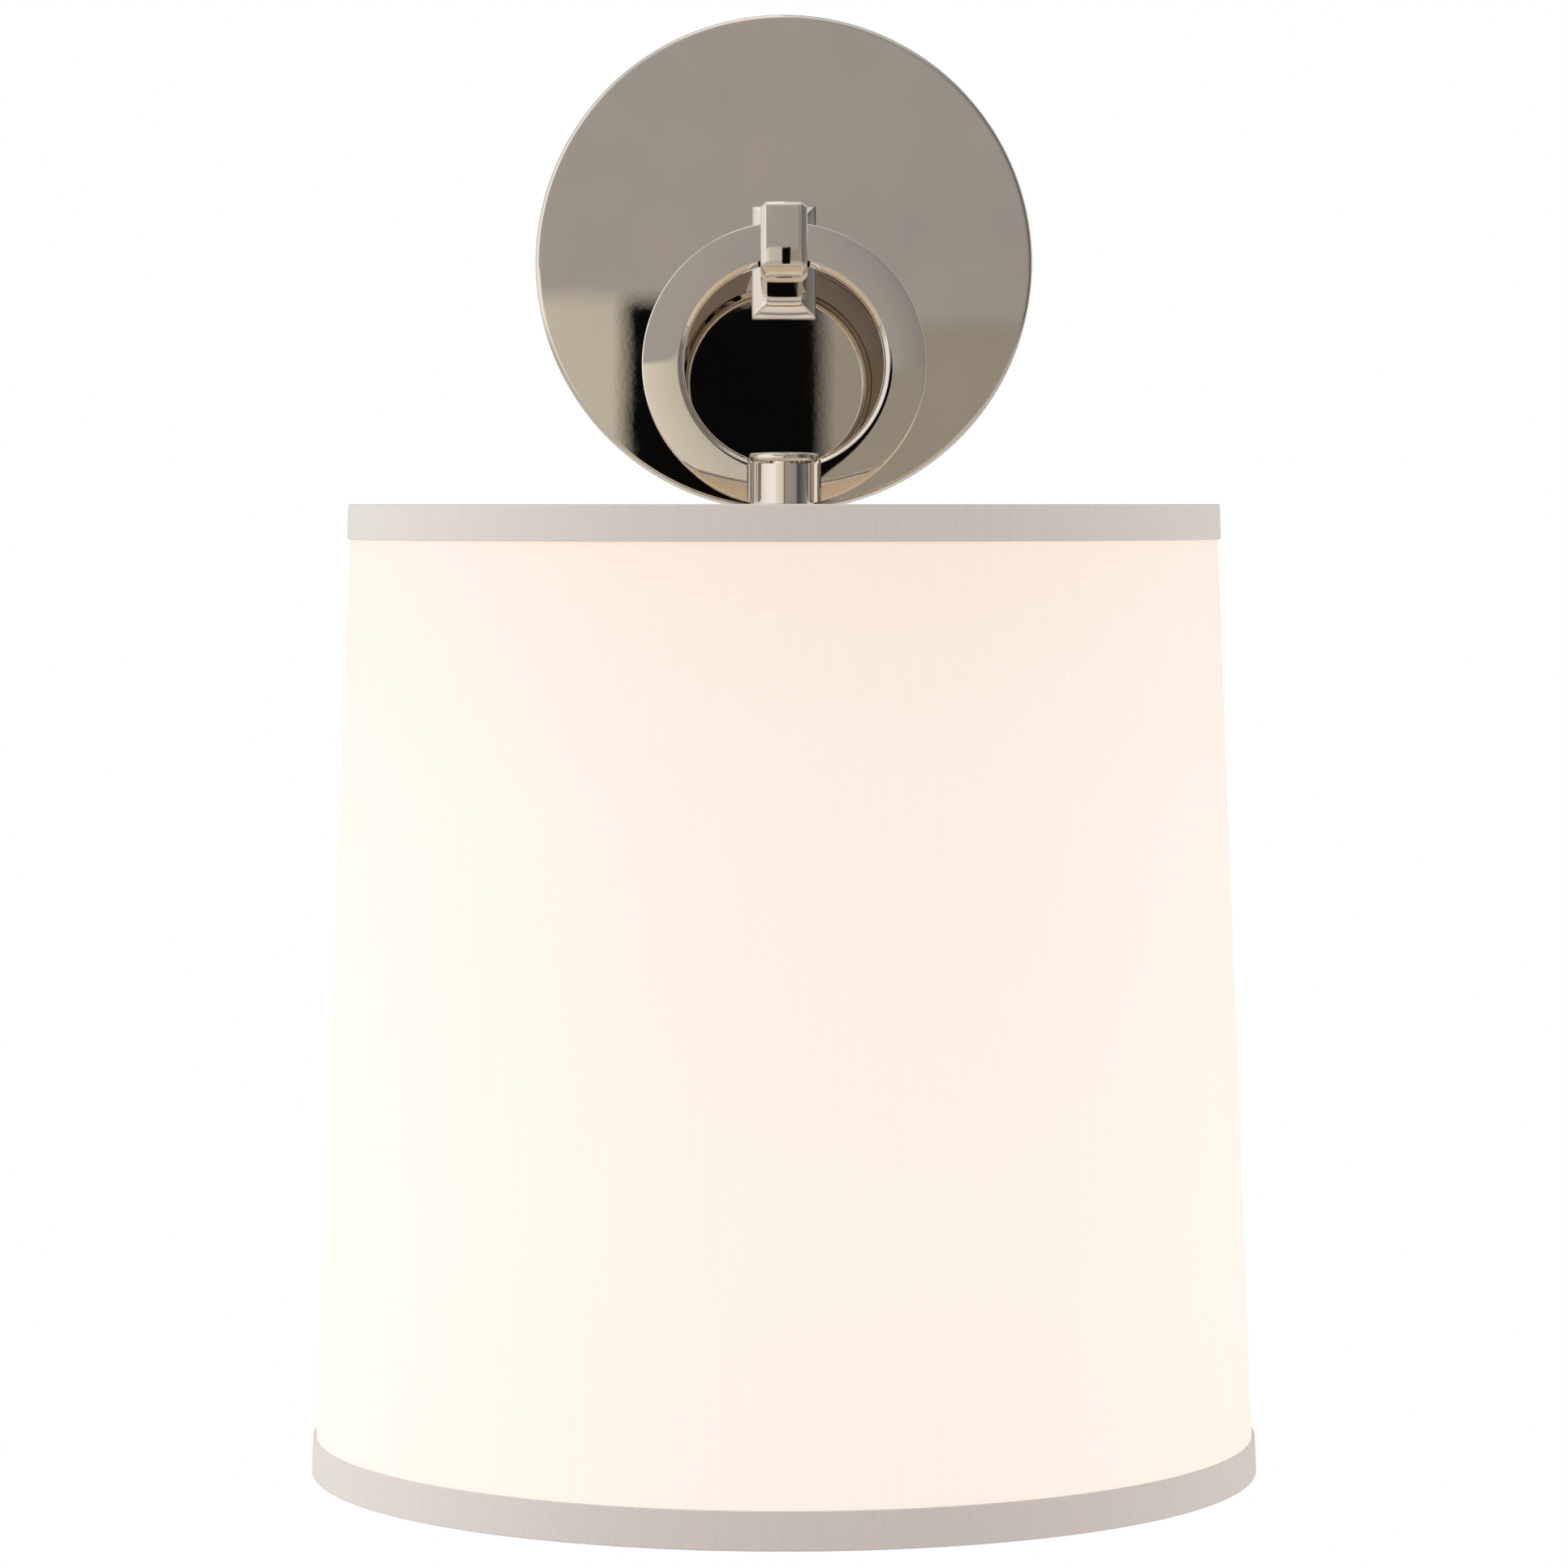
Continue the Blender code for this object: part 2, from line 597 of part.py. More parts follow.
# ---------------------------------------------------------------- the ring and what grips it
def ring_outline(radial=0.0, depth=0.0, groove=False):
    """Section of the ring as (radius, forward), grown if asked, and with the wire groove if asked."""
    outer, inner = RING_OUTER_RADIUS + radial, RING_INNER_RADIUS - radial
    half = RING_DEPTH / 2 + depth
    face = inner + RING_ROUNDOVER
    roll = RING_DEPTH / 4
    outline = arc((outer - RING_EDGE, half - RING_EDGE), (RING_EDGE,) * 2, 90, 0, 1)
    outline += arc((outer - RING_EDGE, RING_EDGE - half), (RING_EDGE,) * 2, 0, -90, 1)
    if groove:
        bottom = GROOVE_DEPTH - half
        outline += [(GROOVE_OUTER, -half), (GROOVE_OUTER, bottom)]
        outline += [(GROOVE_INNER, bottom), (GROOVE_INNER, -half)]
    outline += arc((face, roll - half), (RING_ROUNDOVER, roll), 270, 180, 2)
    outline += arc((face, half - roll), (RING_ROUNDOVER, roll), 180, 90, 2)
    return outline


def cap_seat(pivot, name):
    """Tool that faces off the ring's inside where the stem's cap sits."""
    tool = rod(STEM_CAP_RADIUS + GAP, STEM_TOP, STEM_TOP + 0.006, "Z", (0, 0), MEDIUM)
    return hide(tool, name, pivot)


def on_ring_centre(obj):
    obj.location = (0.0, 0.0, RING_CENTRE)
    return obj


def ring_parts(pivot):
    """The split ring with its wire groove, and the cover that closes the groove behind."""
    ring = on_ring_centre(turned(ring_outline(groove=True), FINE, forward=True))
    dress(ring, "ring", NICKEL, pivot)
    end = BOSS_HALF + GAP
    low, high = RING_BOTTOM - 0.005, RING_CENTRE - RING_INNER_RADIUS * 0.8
    gap_tool = hide(block((-end, -RING_DEPTH, low), (end, RING_DEPTH, high)), "ring_gap_cut", pivot)
    cut(ring, gap_tool, cap_seat(pivot, "ring_cap_seat"))
    back = -RING_DEPTH / 2
    cover_outline = [
        (GROOVE_INNER + SLIM_GAP, back + COVER_THICKNESS),
        (GROOVE_OUTER - SLIM_GAP, back + COVER_THICKNESS),
        (GROOVE_OUTER - SLIM_GAP, back),
        (GROOVE_INNER + SLIM_GAP, back),
    ]
    cover = on_ring_centre(turned(cover_outline, FINE, forward=True))
    dress(cover, "ring_back_cover", NICKEL, pivot)
    lead_hole = rod(RING_LEAD_RADIUS + LEAD_HOLE_ROOM, 0.001, 0.008, "Y", (0, RING_CENTRE + GROOVE_MID))
    cut(cover, gap_tool, hide(lead_hole, "cover_lead_hole", pivot))


def ring_cuff(pivot):
    """Thin sleeve round the ring's top: the bearing that rocks in the arm's eye."""
    cheeks = CUFF_GAP_TO_RING + CUFF_CHEEK
    cuff = on_ring_centre(turned(ring_outline(CUFF_RADIAL, cheeks), FINE, forward=True))
    dress(cuff, "ring_cuff", NICKEL, pivot)
    half = CUFF_WIDTH / 2
    keep = block((-half, -0.02, RING_CENTRE + RING_INNER_RADIUS * 0.7), (half, 0.02, 0.02))
    boolean(cuff, hide(keep, "cuff_width", pivot), "INTERSECT")
    hollow = turned(ring_outline(CUFF_GAP_TO_RING, CUFF_GAP_TO_RING), FINE, forward=True)
    hide(on_ring_centre(hollow), "cuff_hollow", pivot)
    lead_hole = rod(RING_LEAD_RADIUS + LEAD_HOLE_ROOM, 0.001, 0.009, "Y", (0, RING_CENTRE + GROOVE_MID))
    return cut(cuff, hollow, hide(lead_hole, "cuff_lead_hole", pivot))


def stem_parts(pivot):
    """The stem that joins the ring's ends and carries the shade, and the cap over its wire chamber."""
    profile = [
        (0.0, STEM_TOP),
        (STEM_RADIUS, STEM_TOP),
        (STEM_RADIUS, STEM_SHOULDER),
        (SPIGOT_RADIUS, STEM_SHOULDER),
        (SPIGOT_RADIUS, SPIGOT_END),
        (0.0, SPIGOT_END),
    ]
    stem = dress(turned(profile, MEDIUM, loop=False), "stem", NICKEL, pivot)
    boss = on_ring_centre(turned(ring_outline(), FINE, forward=True))
    hide(boss, "stem_boss", pivot)
    low, high = RING_BOTTOM - 0.005, RING_CENTRE - RING_INNER_RADIUS * 0.8
    keep = block((-BOSS_HALF, -0.02, low), (BOSS_HALF, 0.02, high))
    boolean(boss, hide(keep, "boss_width", pivot), "INTERSECT")
    boolean(stem, boss, "UNION")
    chamber_floor = STEM_SHOULDER + 0.007
    bore = [
        (0.0, STEM_TOP + 0.002),
        (STEM_CHAMBER, STEM_TOP + 0.002),
        (STEM_CHAMBER, chamber_floor),
        (SPIGOT_BORE, chamber_floor - 0.001),
        (SPIGOT_BORE, SPIGOT_END - 0.001),
        (0.0, SPIGOT_END - 0.001),
    ]
    bore_tool = hide(turned(bore, COARSE, loop=False), "stem_bore", pivot)
    lead_rise = GROOVE_MID - math.sqrt(GROOVE_MID**2 - BOSS_HALF**2)  # the lead curves up inside the boss
    lead_height = RING_CENTRE - GROOVE_MID + lead_rise / 2
    side_radius = RING_LEAD_RADIUS + LEAD_HOLE_ROOM + lead_rise / 2
    side = rod(side_radius, 0.0005, BOSS_HALF + 0.0025, "X", (LEAD_OFF_MIDPLANE, lead_height))
    cut(stem, bore_tool, hide(side, "stem_lead_hole", pivot), cap_seat(pivot, "stem_cap_seat"))
    under = STEM_TOP + GAP
    top = under + STEM_CAP_THICKNESS
    edge = 0.0006
    cap = [(0.0, top + 0.0002)]
    cap += arc((STEM_CAP_RADIUS - edge, top - edge), (edge, edge), 80, 0, 3)
    cap += [(STEM_CAP_RADIUS, under), (STEM_CHAMBER - GAP, under)]
    cap += [(STEM_CHAMBER - GAP, under - 0.002), (0.0, under - 0.002)]
    dress(turned(cap, MEDIUM, loop=False), "stem_cap", NICKEL, pivot)


def ring_lead(pivot):
    """The lamp lead: in at the ring's top, round its right half, and down the stem."""
    height = RING_CENTRE + GROOVE_MID
    route = [
        (0.0, CUFF_HALF_DEPTH + 0.0003, height),
        (0.0, RING_DEPTH / 2 - COVER_THICKNESS, height),
        (0.0005, LEAD_OFF_MIDPLANE + 0.0004, height),
        (0.0016, LEAD_OFF_MIDPLANE + 0.0001, height - 0.00005),
    ]
    bend = 0.003
    last = -math.degrees(math.acos(bend / GROOVE_MID))
    for step in range(15):
        t = math.radians(82 + (last - 82) * step / 14)
        side, up = GROOVE_MID * math.cos(t), GROOVE_MID * math.sin(t)
        route.append((side, LEAD_OFF_MIDPLANE, RING_CENTRE + up))
    low = RING_CENTRE - GROOVE_MID - bend
    for side, up in arc((bend, low), (bend, bend), 110, 180, 4):
        route.append((side, LEAD_OFF_MIDPLANE, up))
    route.append((0.0, LEAD_OFF_MIDPLANE * 0.5, low - 0.003))
    route.append((0.0, 0.0, STEM_SHOULDER))
    route.append((0.0, 0.0, SPIGOT_END + 0.0002))
    return dress(tube(route, RING_LEAD_RADIUS), "ring_lead", SLEEVING, pivot)


# ---------------------------------------------------------------- the shade
def shade_radius(height, inset=0.0):
    """Outer radius of the trimmed shade at a height, less an inset."""
    return SHADE_TOP_DIAMETER / 2 + (SHADE_TOP - height) * SHADE_SLOPE - inset


def shade_parts(pivot):
    """Fabric on its stiff lining, with a folded tape round each end."""
    fabric_out = TRIM + SLIM_GAP
    fabric_in = fabric_out + FABRIC
    top, bottom = SHADE_TOP - fabric_out, SHADE_BOTTOM + fabric_out
    panel = [
        (shade_radius(top, fabric_in), top),
        (shade_radius(top, fabric_out), top),
        (shade_radius(bottom, fabric_out), bottom),
        (shade_radius(bottom, fabric_in), bottom),
    ]
    dress(turned(panel, FINE), "shade_panel", SILK, pivot)
    wire = fabric_in + GAP + 2 * FRAME_WIRE_RADIUS
    ends = (
        ("top_trim", SHADE_TOP, -1, TOP_TRIM_HEIGHT),
        ("bottom_trim", SHADE_BOTTOM, 1, BOTTOM_TRIM_HEIGHT),
    )
    for name, edge, way, height in ends:
        web, hem = edge + way * TRIM, edge + way * height
        trim = [
            (shade_radius(edge, wire), edge),
            (shade_radius(edge, TRIM / 2), edge),
            (shade_radius(edge), web),
            (shade_radius(hem), hem),
            (shade_radius(hem, TRIM), hem),
            (shade_radius(web, TRIM), web),
            (shade_radius(edge, wire), web),
        ]
        dress(turned(trim if way < 0 else trim[::-1], FINE), name, TRIM_TAPE, pivot)


def shade_frame(pivot):
    """Wire rings inside the shade's ends, and the spider: a hub washer and three spokes."""
    inset = TRIM + SLIM_GAP + FABRIC + GAP + FRAME_WIRE_RADIUS
    ring_top = SHADE_TOP - TRIM - SLIM_GAP - FRAME_WIRE_RADIUS - 0.0001
    ring_bottom = SHADE_BOTTOM + TRIM + SLIM_GAP + FRAME_WIRE_RADIUS + 0.0001
    for name, height in (("top_frame_ring", ring_top), ("bottom_frame_ring", ring_bottom)):
        bpy.ops.mesh.primitive_torus_add(
            major_segments=FINE,
            minor_segments=5,
            major_radius=shade_radius(height, inset),
            minor_radius=FRAME_WIRE_RADIUS,
            location=(0, 0, height),
        )
        bpy.context.active_object.data.shade_smooth()
        dress(bpy.context.active_object, name, WIRE_ENAMEL, pivot)
    hub = [
        (SPIGOT_RADIUS + GAP, HUB_TOP),
        (HUB_RADIUS, HUB_TOP),
        (HUB_RADIUS, HUB_BOTTOM),
        (SPIGOT_RADIUS + GAP, HUB_BOTTOM),
    ]
    dress(turned(hub, MEDIUM), "spider_hub", WIRE_ENAMEL, pivot)
    hub_middle = (HUB_TOP + HUB_BOTTOM) / 2
    reach = shade_radius(ring_top, inset) - FRAME_WIRE_RADIUS - GAP
    profile = [
        (HUB_RADIUS + GAP, hub_middle),
        (HUB_RADIUS + 0.005, hub_middle),
        (reach - 0.006, ring_top),
        (reach - 0.0002, ring_top),
    ]
    for number, degrees in enumerate((60, 180, 300), start=1):
        turn = math.radians(degrees)
        points = [(r * math.cos(turn), r * math.sin(turn), z) for r, z in profile]
        dress(tube(points, SPOKE_RADIUS, 1), f"spider_spoke_{number}", WIRE_ENAMEL, pivot)


# ---------------------------------------------------------------- the lampholder
def socket_parts(pivot):
    """Metal cap and its nut, porcelain body, threaded shell, contact tongue, terminals and their tails."""
    wall = SOCKET_TO_CAP
    top, skirt = SOCKET_CAP_TOP, SOCKET_TOP - 0.013
    shoulder = SOCKET_TOP + 0.001
    hole = SPIGOT_RADIUS + GAP
    cap = [
        (hole, top),
        (0.009, top),
        (SOCKET_CAP_OUTSIDE - 0.0029, top - 0.0032),
        (SOCKET_CAP_OUTSIDE - 0.0006, shoulder + 0.003),
        (SOCKET_CAP_OUTSIDE, shoulder),
        (SOCKET_CAP_OUTSIDE, skirt),
        (SOCKET_CAP_INSIDE, skirt),
        (SOCKET_CAP_INSIDE, shoulder),
        (SOCKET_CAP_INSIDE - 0.0006, shoulder + 0.0028),
        (SOCKET_CAP_INSIDE - 0.0029, top - 0.0037),
        (0.0088, top - wall),
        (hole, top - wall),
    ]
    dress(turned(cap, MEDIUM), "socket_cap", NICKEL, pivot)
    nut_top = top - wall - GAP
    hex_nut("socket_lock_nut", "Z", nut_top - NUT_THICKNESS, nut_top, hole, pivot)
    body = [
        (0.0, SOCKET_TOP),
        (SOCKET_RADIUS - 0.001, SOCKET_TOP),
        (SOCKET_RADIUS, SOCKET_TOP - 0.001),
        (SOCKET_RADIUS, SOCKET_BOTTOM + 0.001),
        (SOCKET_RADIUS - 0.001, SOCKET_BOTTOM),
        (SOCKET_BORE, SOCKET_BOTTOM),
        (SOCKET_BORE, SOCKET_CAVITY_TOP),
        (0.0, SOCKET_CAVITY_TOP),
    ]
    socket = dress(turned(body, MEDIUM, loop=False), "socket_body", PORCELAIN, pivot)
    shell = [
        (SHELL_BORE, SOCKET_CAVITY_TOP - 0.001),
        (SHELL_BORE + SHELL_WALL, SOCKET_CAVITY_TOP - 0.001),
        (SHELL_BORE + SHELL_WALL, SOCKET_BOTTOM + 0.0015),
        (SHELL_BORE, SOCKET_BOTTOM + 0.0015),
    ]
    dress(turned(shell, MEDIUM), "screw_shell", BRASS, pivot)
    tongue_top = SOCKET_CAVITY_TOP - GAP
    tongue = [
        (-0.006, tongue_top),
        (-0.006, tongue_top - 0.0005),
        (-0.001, tongue_top - 0.0005),
        (0.004, BULB_SEAT + GAP),
        (0.004, BULB_SEAT + GAP + 0.0005),
        (-0.001, tongue_top),
    ]
    dress(flat_outline(tongue, 0.005, (math.pi / 2, 0, 0)), "centre_contact", BRASS, pivot)
    for side, colour, material in ((-1, "live", BLACK_PLASTIC), (1, "neutral", WHITE_PLASTIC)):
        x = side * TERMINAL_X
        head = SOCKET_TOP + GAP
        tip = head - 0.006
        well = rod(TERMINAL_SHANK + GAP, SOCKET_TOP + 0.001, tip - GAP, "Z", (x, 0), 12)
        cut(socket, hide(well, f"{colour}_terminal_well", pivot))
        profile = [
            (0.0, head + 0.0017),
            (TERMINAL_HEAD - 0.0004, head + 0.0017),
            (TERMINAL_HEAD, head + 0.0013),
            (TERMINAL_HEAD, head),
            (TERMINAL_SHANK, head),
            (TERMINAL_SHANK, tip),
            (0.0, tip),
        ]
        screw = turned(profile, COARSE, loop=False)
        screw.location = (x, 0, 0)
        dress(screw, f"{colour}_terminal_screw", BRASS, pivot)
        route = [
            (side * 0.001, 0.0, SPIGOT_END - 0.0005),
            (side * 0.0013, 0.0, SPIGOT_END - 0.0013),
            (side * 0.0035, 0.0, SOCKET_TOP + 0.0017),
            (side * (TERMINAL_X - TERMINAL_HEAD - GAP - 0.0002), 0.0, SOCKET_TOP + 0.0013),
        ]
        dress(tube(smooth_path(route, 2), PIGTAIL_RADIUS, 1), f"{colour}_pigtail", material, pivot)


# ---------------------------------------------------------------- the bulb
def bulb_parts(seat):
    """A frosted bulb hung cap up. Heights run down from the tip of its contact."""
    neck = BULB_CAP_RADIUS - SHELL_WALL - GAP
    cap_low, centre = -0.0246, BULB_RADIUS - BULB_LENGTH
    count = 6
    outside = [(neck, cap_low + 0.0066)]
    for step in range(count + 1):
        share = step / count
        ease = (1 - math.cos(math.pi * share)) / 2
        outside.append((neck + (BULB_RADIUS - neck) * ease, cap_low + (centre - cap_low) * share))
    outside += arc((0, centre), (BULB_RADIUS, BULB_RADIUS), -15, -90, 5)
    inside = [(max(r - GLASS, 0.0), z) for r, z in outside[:-1]] + [(0.0, outside[-1][1] + GLASS)]
    glass = turned(inside[::-1] + outside, MEDIUM, loop=False)
    dress(glass, "bulb_glass", GLASS_FROST, seat)
    web = -0.0033
    inner = BULB_CAP_RADIUS - SHELL_WALL
    cap = [
        (0.007, web),
        (0.0105, web),
        (BULB_CAP_RADIUS, web - 0.0023),
        (BULB_CAP_RADIUS, cap_low),
        (inner, cap_low),
        (inner, web - 0.0026),
        (0.0102, web - 0.0006),
        (0.007, web - 0.0006),
    ]
    dress(turned(cap, MEDIUM), "bulb_cap", BRASS, seat)
    insulator = [(0.0, -0.0012), (0.0048, -0.0012), (0.0098, web + GAP), (0.0, web + GAP)]
    dress(turned(insulator, COARSE, loop=False), "bulb_insulator", BLACK_PLASTIC, seat)
    tip = [(0.0, 0.0), (0.0026, -0.0001), (0.0042, -0.0005), (0.0045, -0.0009), (0.0, -0.0009)]
    dress(turned(tip, COARSE, loop=False), "bulb_tip_contact", STEEL, seat)
    mount = [
        (0.0, -0.019),
        (0.0085, -0.019),
        (0.0085, -0.0205),
        (0.0035, -0.026),
        (0.0024, -0.052),
        (0.0, -0.053),
    ]
    dress(turned(mount, COARSE, loop=False), "bulb_mount", GLASS_FROST, seat)
    posts = [(0.0016, -0.0536), (0.0045, -0.060), (0.0095, -0.069), (0.006, -0.0705), (0.0, -0.0695)]
    route = [(-x, 0.0, z) for x, z in posts] + [(x, 0.0, z) for x, z in posts[-2::-1]]
    dress(tube(route, 0.0004, 1), "bulb_filament", STEEL, seat)


# ---------------------------------------------------------------- the lamp
def build():
    frame = empty("wall_frame", (0, 0, 0))
    wall_strap(frame)
    backplate(frame)
    set_screws(frame)
    ground_screw(frame)
    hook_arm(frame)
    arm_fixing(frame)
    wall_wiring(frame)
    pivot = empty("drop_pivot", (0, -REACH, 0), frame)
    ring_parts(pivot)
    ring_cuff(pivot)
    stem_parts(pivot)
    ring_lead(pivot)
    shade_parts(pivot)
    shade_frame(pivot)
    socket_parts(pivot)
    bulb_parts(empty("bulb_seat", (0, 0, BULB_SEAT), pivot))


build()
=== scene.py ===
"""Looks of a wall lamp: polished nickel plate, arm and ring, and a lit silk shade with a bulb inside.

Metres, +Z up. The wall is the plane Y = 0 and the room lies towards -Y. Every piece is made at its own place
in the frame, so that its object sits at the origin.
"""

import math

import bmesh
import bpy
from mathutils import Matrix, Vector


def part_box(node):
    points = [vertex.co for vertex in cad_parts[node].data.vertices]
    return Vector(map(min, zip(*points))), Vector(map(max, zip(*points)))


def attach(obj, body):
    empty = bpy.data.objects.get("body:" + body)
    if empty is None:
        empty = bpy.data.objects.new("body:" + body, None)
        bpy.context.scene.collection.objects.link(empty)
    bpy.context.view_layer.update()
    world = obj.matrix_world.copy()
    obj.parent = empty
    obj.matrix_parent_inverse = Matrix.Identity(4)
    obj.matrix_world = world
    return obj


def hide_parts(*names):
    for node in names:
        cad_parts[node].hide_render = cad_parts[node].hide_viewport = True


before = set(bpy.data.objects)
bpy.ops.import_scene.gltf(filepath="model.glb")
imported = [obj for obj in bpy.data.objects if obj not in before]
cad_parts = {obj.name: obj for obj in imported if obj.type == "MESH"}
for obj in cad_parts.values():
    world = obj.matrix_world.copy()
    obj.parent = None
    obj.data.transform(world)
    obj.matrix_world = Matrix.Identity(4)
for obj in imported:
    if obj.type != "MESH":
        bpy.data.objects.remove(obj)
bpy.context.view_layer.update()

MM = 0.001
FINE, MEDIUM, COARSE = 256, 96, 48  # facets round a turned piece
WALL, HANGING, BULB = "wall_side", "ring_and_shade", "bulb"

# Places that the frame gives
plate_low, plate_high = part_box("backplate")
ring_low, ring_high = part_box("ring")
arm_low, arm_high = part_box("hook_arm")
cuff_low, cuff_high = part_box("ring_cuff")
cap_low, cap_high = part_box("stem_cap")
stem_low, stem_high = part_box("stem")
shade_low, shade_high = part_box("shade_panel")
top_trim_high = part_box("top_trim")[1]
bottom_trim_low, bottom_trim_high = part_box("bottom_trim")
glass_low, glass_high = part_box("bulb_glass")

PLATE_RADIUS = (plate_high.x - plate_low.x) / 2
PLATE_DEPTH = -plate_low.y
SHADE_Y = (shade_low.y + shade_high.y) / 2
RING_RADIUS = (ring_high.x - ring_low.x) / 2
RING_HALF = (ring_high.y - ring_low.y) / 2
RING_Z = ring_high.z - RING_RADIUS
CAP_RADIUS = (cap_high.x - cap_low.x) / 2
STEM_RADIUS = (stem_high.y - stem_low.y) / 2
SHADE_TOP, SHADE_BOTTOM = top_trim_high.z, bottom_trim_low.z
TOP_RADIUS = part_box("top_frame_ring")[1].x + 1.8 * MM
BOTTOM_RADIUS = bottom_trim_high.x

# Sizes of what the frame only shows as facets
RING_INNER = 18.9 * MM
RING_DOME = 0.012 / MM  # polishing has domed the ring's faces, ever steeper from the inner edge outwards
ARM_DOME = 0.0105 / MM  # and the arm's, to both sides of its middle
RING_CHAMFER = 1.1 * MM
RING_LEAN = 0.005  # radians that the ring hangs out of true, facing up
PLATE_TURN = 0.01  # radians that the plate's face is out of true, turned to the right
ARM_WIDTH = 8.8 * MM
ARM_EDGE = 1.1 * MM
EYE_ROOM = 0.65 * MM
BASE_CHAMFER = 2.4 * MM
NIPPLE_RADIUS = 3.9 * MM
SPLIT = STEM_RADIUS + 1.3 * MM  # where the stem's boss meets the ring's ends


# ---------------------------------------------------------------- meshes
def upright(x=0.0, y=0.0, z=0.0):
    """Places a piece turned about its own Z."""
    return Matrix.Translation((x, y, z))


AXIS = upright(0, SHADE_Y, 0)  # the ring's, stem's and shade's


def facing(x=0.0, y=0.0, z=0.0):
    """Places a piece turned about its own Z so that this axis points to the room."""
    return Matrix.Translation((x, y, z)) @ Matrix.Rotation(math.pi / 2, 4, "X")


def link(mesh, name):
    made = bpy.data.objects.new(name, mesh)
    bpy.context.scene.collection.objects.link(made)
    return made


def smooth(obj, degrees=35):
    obj.data.shade_smooth()
    obj.data.set_sharp_from_angle(angle=math.radians(degrees))
    return obj


def clean(work, name, place=None, degrees=35):
    """Merges doubles, turns the faces outwards and makes the object."""
    bmesh.ops.remove_doubles(work, verts=work.verts, dist=1e-7)
    bmesh.ops.recalc_face_normals(work, faces=work.faces)
    if place is not None:
        work.transform(place)
    mesh = bpy.data.meshes.new(name)
    work.to_mesh(mesh)
    work.free()
    return smooth(link(mesh, name), degrees)


def turned(name, profile, place, steps=FINE, closed=True, degrees=35):
    """A profile of (radius, height) turned about the piece's own Z, with (angle, length) as its UV map."""
    work = bmesh.new()
    uv = work.loops.layers.uv.new("surface")
    count = len(profile)
    lengths = [0.0]
    for (r0, z0), (r1, z1) in zip(profile, profile[1:] + profile[:1]):
        lengths.append(lengths[-1] + math.hypot(r1 - r0, z1 - z0))
    rows = []
    for step in range(steps):
        turn = 2 * math.pi * step / steps
        rows.append([work.verts.new((r * math.cos(turn), r * math.sin(turn), z)) for r, z in profile])
    for step in range(steps):
        here, there = rows[step], rows[(step + 1) % steps]
        for k in range(count if closed else count - 1):
            nxt = (k + 1) % count
            corners = [(here[k], step, k), (there[k], step + 1, k)]
            corners += [(there[nxt], step + 1, k + 1), (here[nxt], step, k + 1)]
            if profile[k][0] < 1e-9:
                corners.pop(1)
            elif profile[nxt][0] < 1e-9:
                corners.pop(2)
            face = work.faces.new([corner[0] for corner in corners])
            for loop, (_, turn_step, along) in zip(face.loops, corners):
                loop[uv].uv = (turn_step / steps, lengths[along])
    return clean(work, name, place, degrees)


def arc(centre, radii, start, end, count):
    """Points on an elliptical arc, in degrees, from start to end."""
    turns = [math.radians(start + (end - start) * i / count) for i in range(count + 1)]
    return [(centre[0] + radii[0] * math.cos(t), centre[1] + radii[1] * math.sin(t)) for t in turns]


def slab(name, outline, width, place):
    """A flat outline extruded to both sides of its own plane."""
    work = bmesh.new()
    front = work.faces.new([work.verts.new((x, y, -width / 2)) for x, y in outline])
    swept = bmesh.ops.extrude_face_region(work, geom=[front])
    moved = [v for v in swept["geom"] if isinstance(v, bmesh.types.BMVert)]
    bmesh.ops.translate(work, verts=moved, vec=(0, 0, width))
    return clean(work, name, place)


def bar_between(name, outline, layers, place):
    """A convex outline swept across a bar; layers of (offset, inset) curve its faces and edges."""
    work = bmesh.new()
    count = len(outline)
    normals = []
    for k in range(count):
        (ax, ay), (bx, by), (cx, cy) = outline[k - 1], outline[k], outline[(k + 1) % count]
        first = Vector((by - ay, ax - bx)).normalized()
        second = Vector((cy - by, bx - cx)).normalized()
        normals.append((first + second) / (1 + first.dot(second)))
    turn = sum(a[0] * b[1] - b[0] * a[1] for a, b in zip(outline, outline[1:] + outline[:1]))
    inward = -1 if turn > 0 else 1
    rows = []
    for offset, inset in layers:
        row = [(x + inward * inset * n.x, y + inward * inset * n.y) for (x, y), n in zip(outline, normals)]
        rows.append([work.verts.new((x, y, offset)) for x, y in row])
    for here, there in zip(rows, rows[1:]):
        for k in range(count):
            nxt = (k + 1) % count
            work.faces.new((here[k], here[nxt], there[nxt], there[k]))
    work.faces.new(rows[0])
    work.faces.new(rows[-1])
    return clean(work, name, place)


def peg(radius, start, end, place, steps=32):
    """A plain round bar, mostly used to cut holes."""
    return turned("peg", [(0, end), (radius, end), (radius, start), (0, start)], place, steps, False)


def across(x, y, z):
    """Places a piece turned about its own Z so that this axis points to the right."""
    return Matrix.Translation((x, y, z)) @ Matrix.Rotation(math.pi / 2, 4, "Y")


def box_between(name, low, high):
    work = bmesh.new()
    bmesh.ops.create_cube(work, size=1.0)
    size = [b - a for a, b in zip(low, high)]
    middle = [(a + b) / 2 for a, b in zip(low, high)]
    work.transform(Matrix.Translation(middle) @ Matrix.Diagonal((*size, 1.0)))
    return clean(work, name)


def soften(obj, width, segments=3, degrees=40):
    bevel = obj.modifiers.new("edges", "BEVEL")
    bevel.width = width
    bevel.segments = segments
    bevel.limit_method = "ANGLE"
    bevel.angle_limit = math.radians(degrees)
    return obj


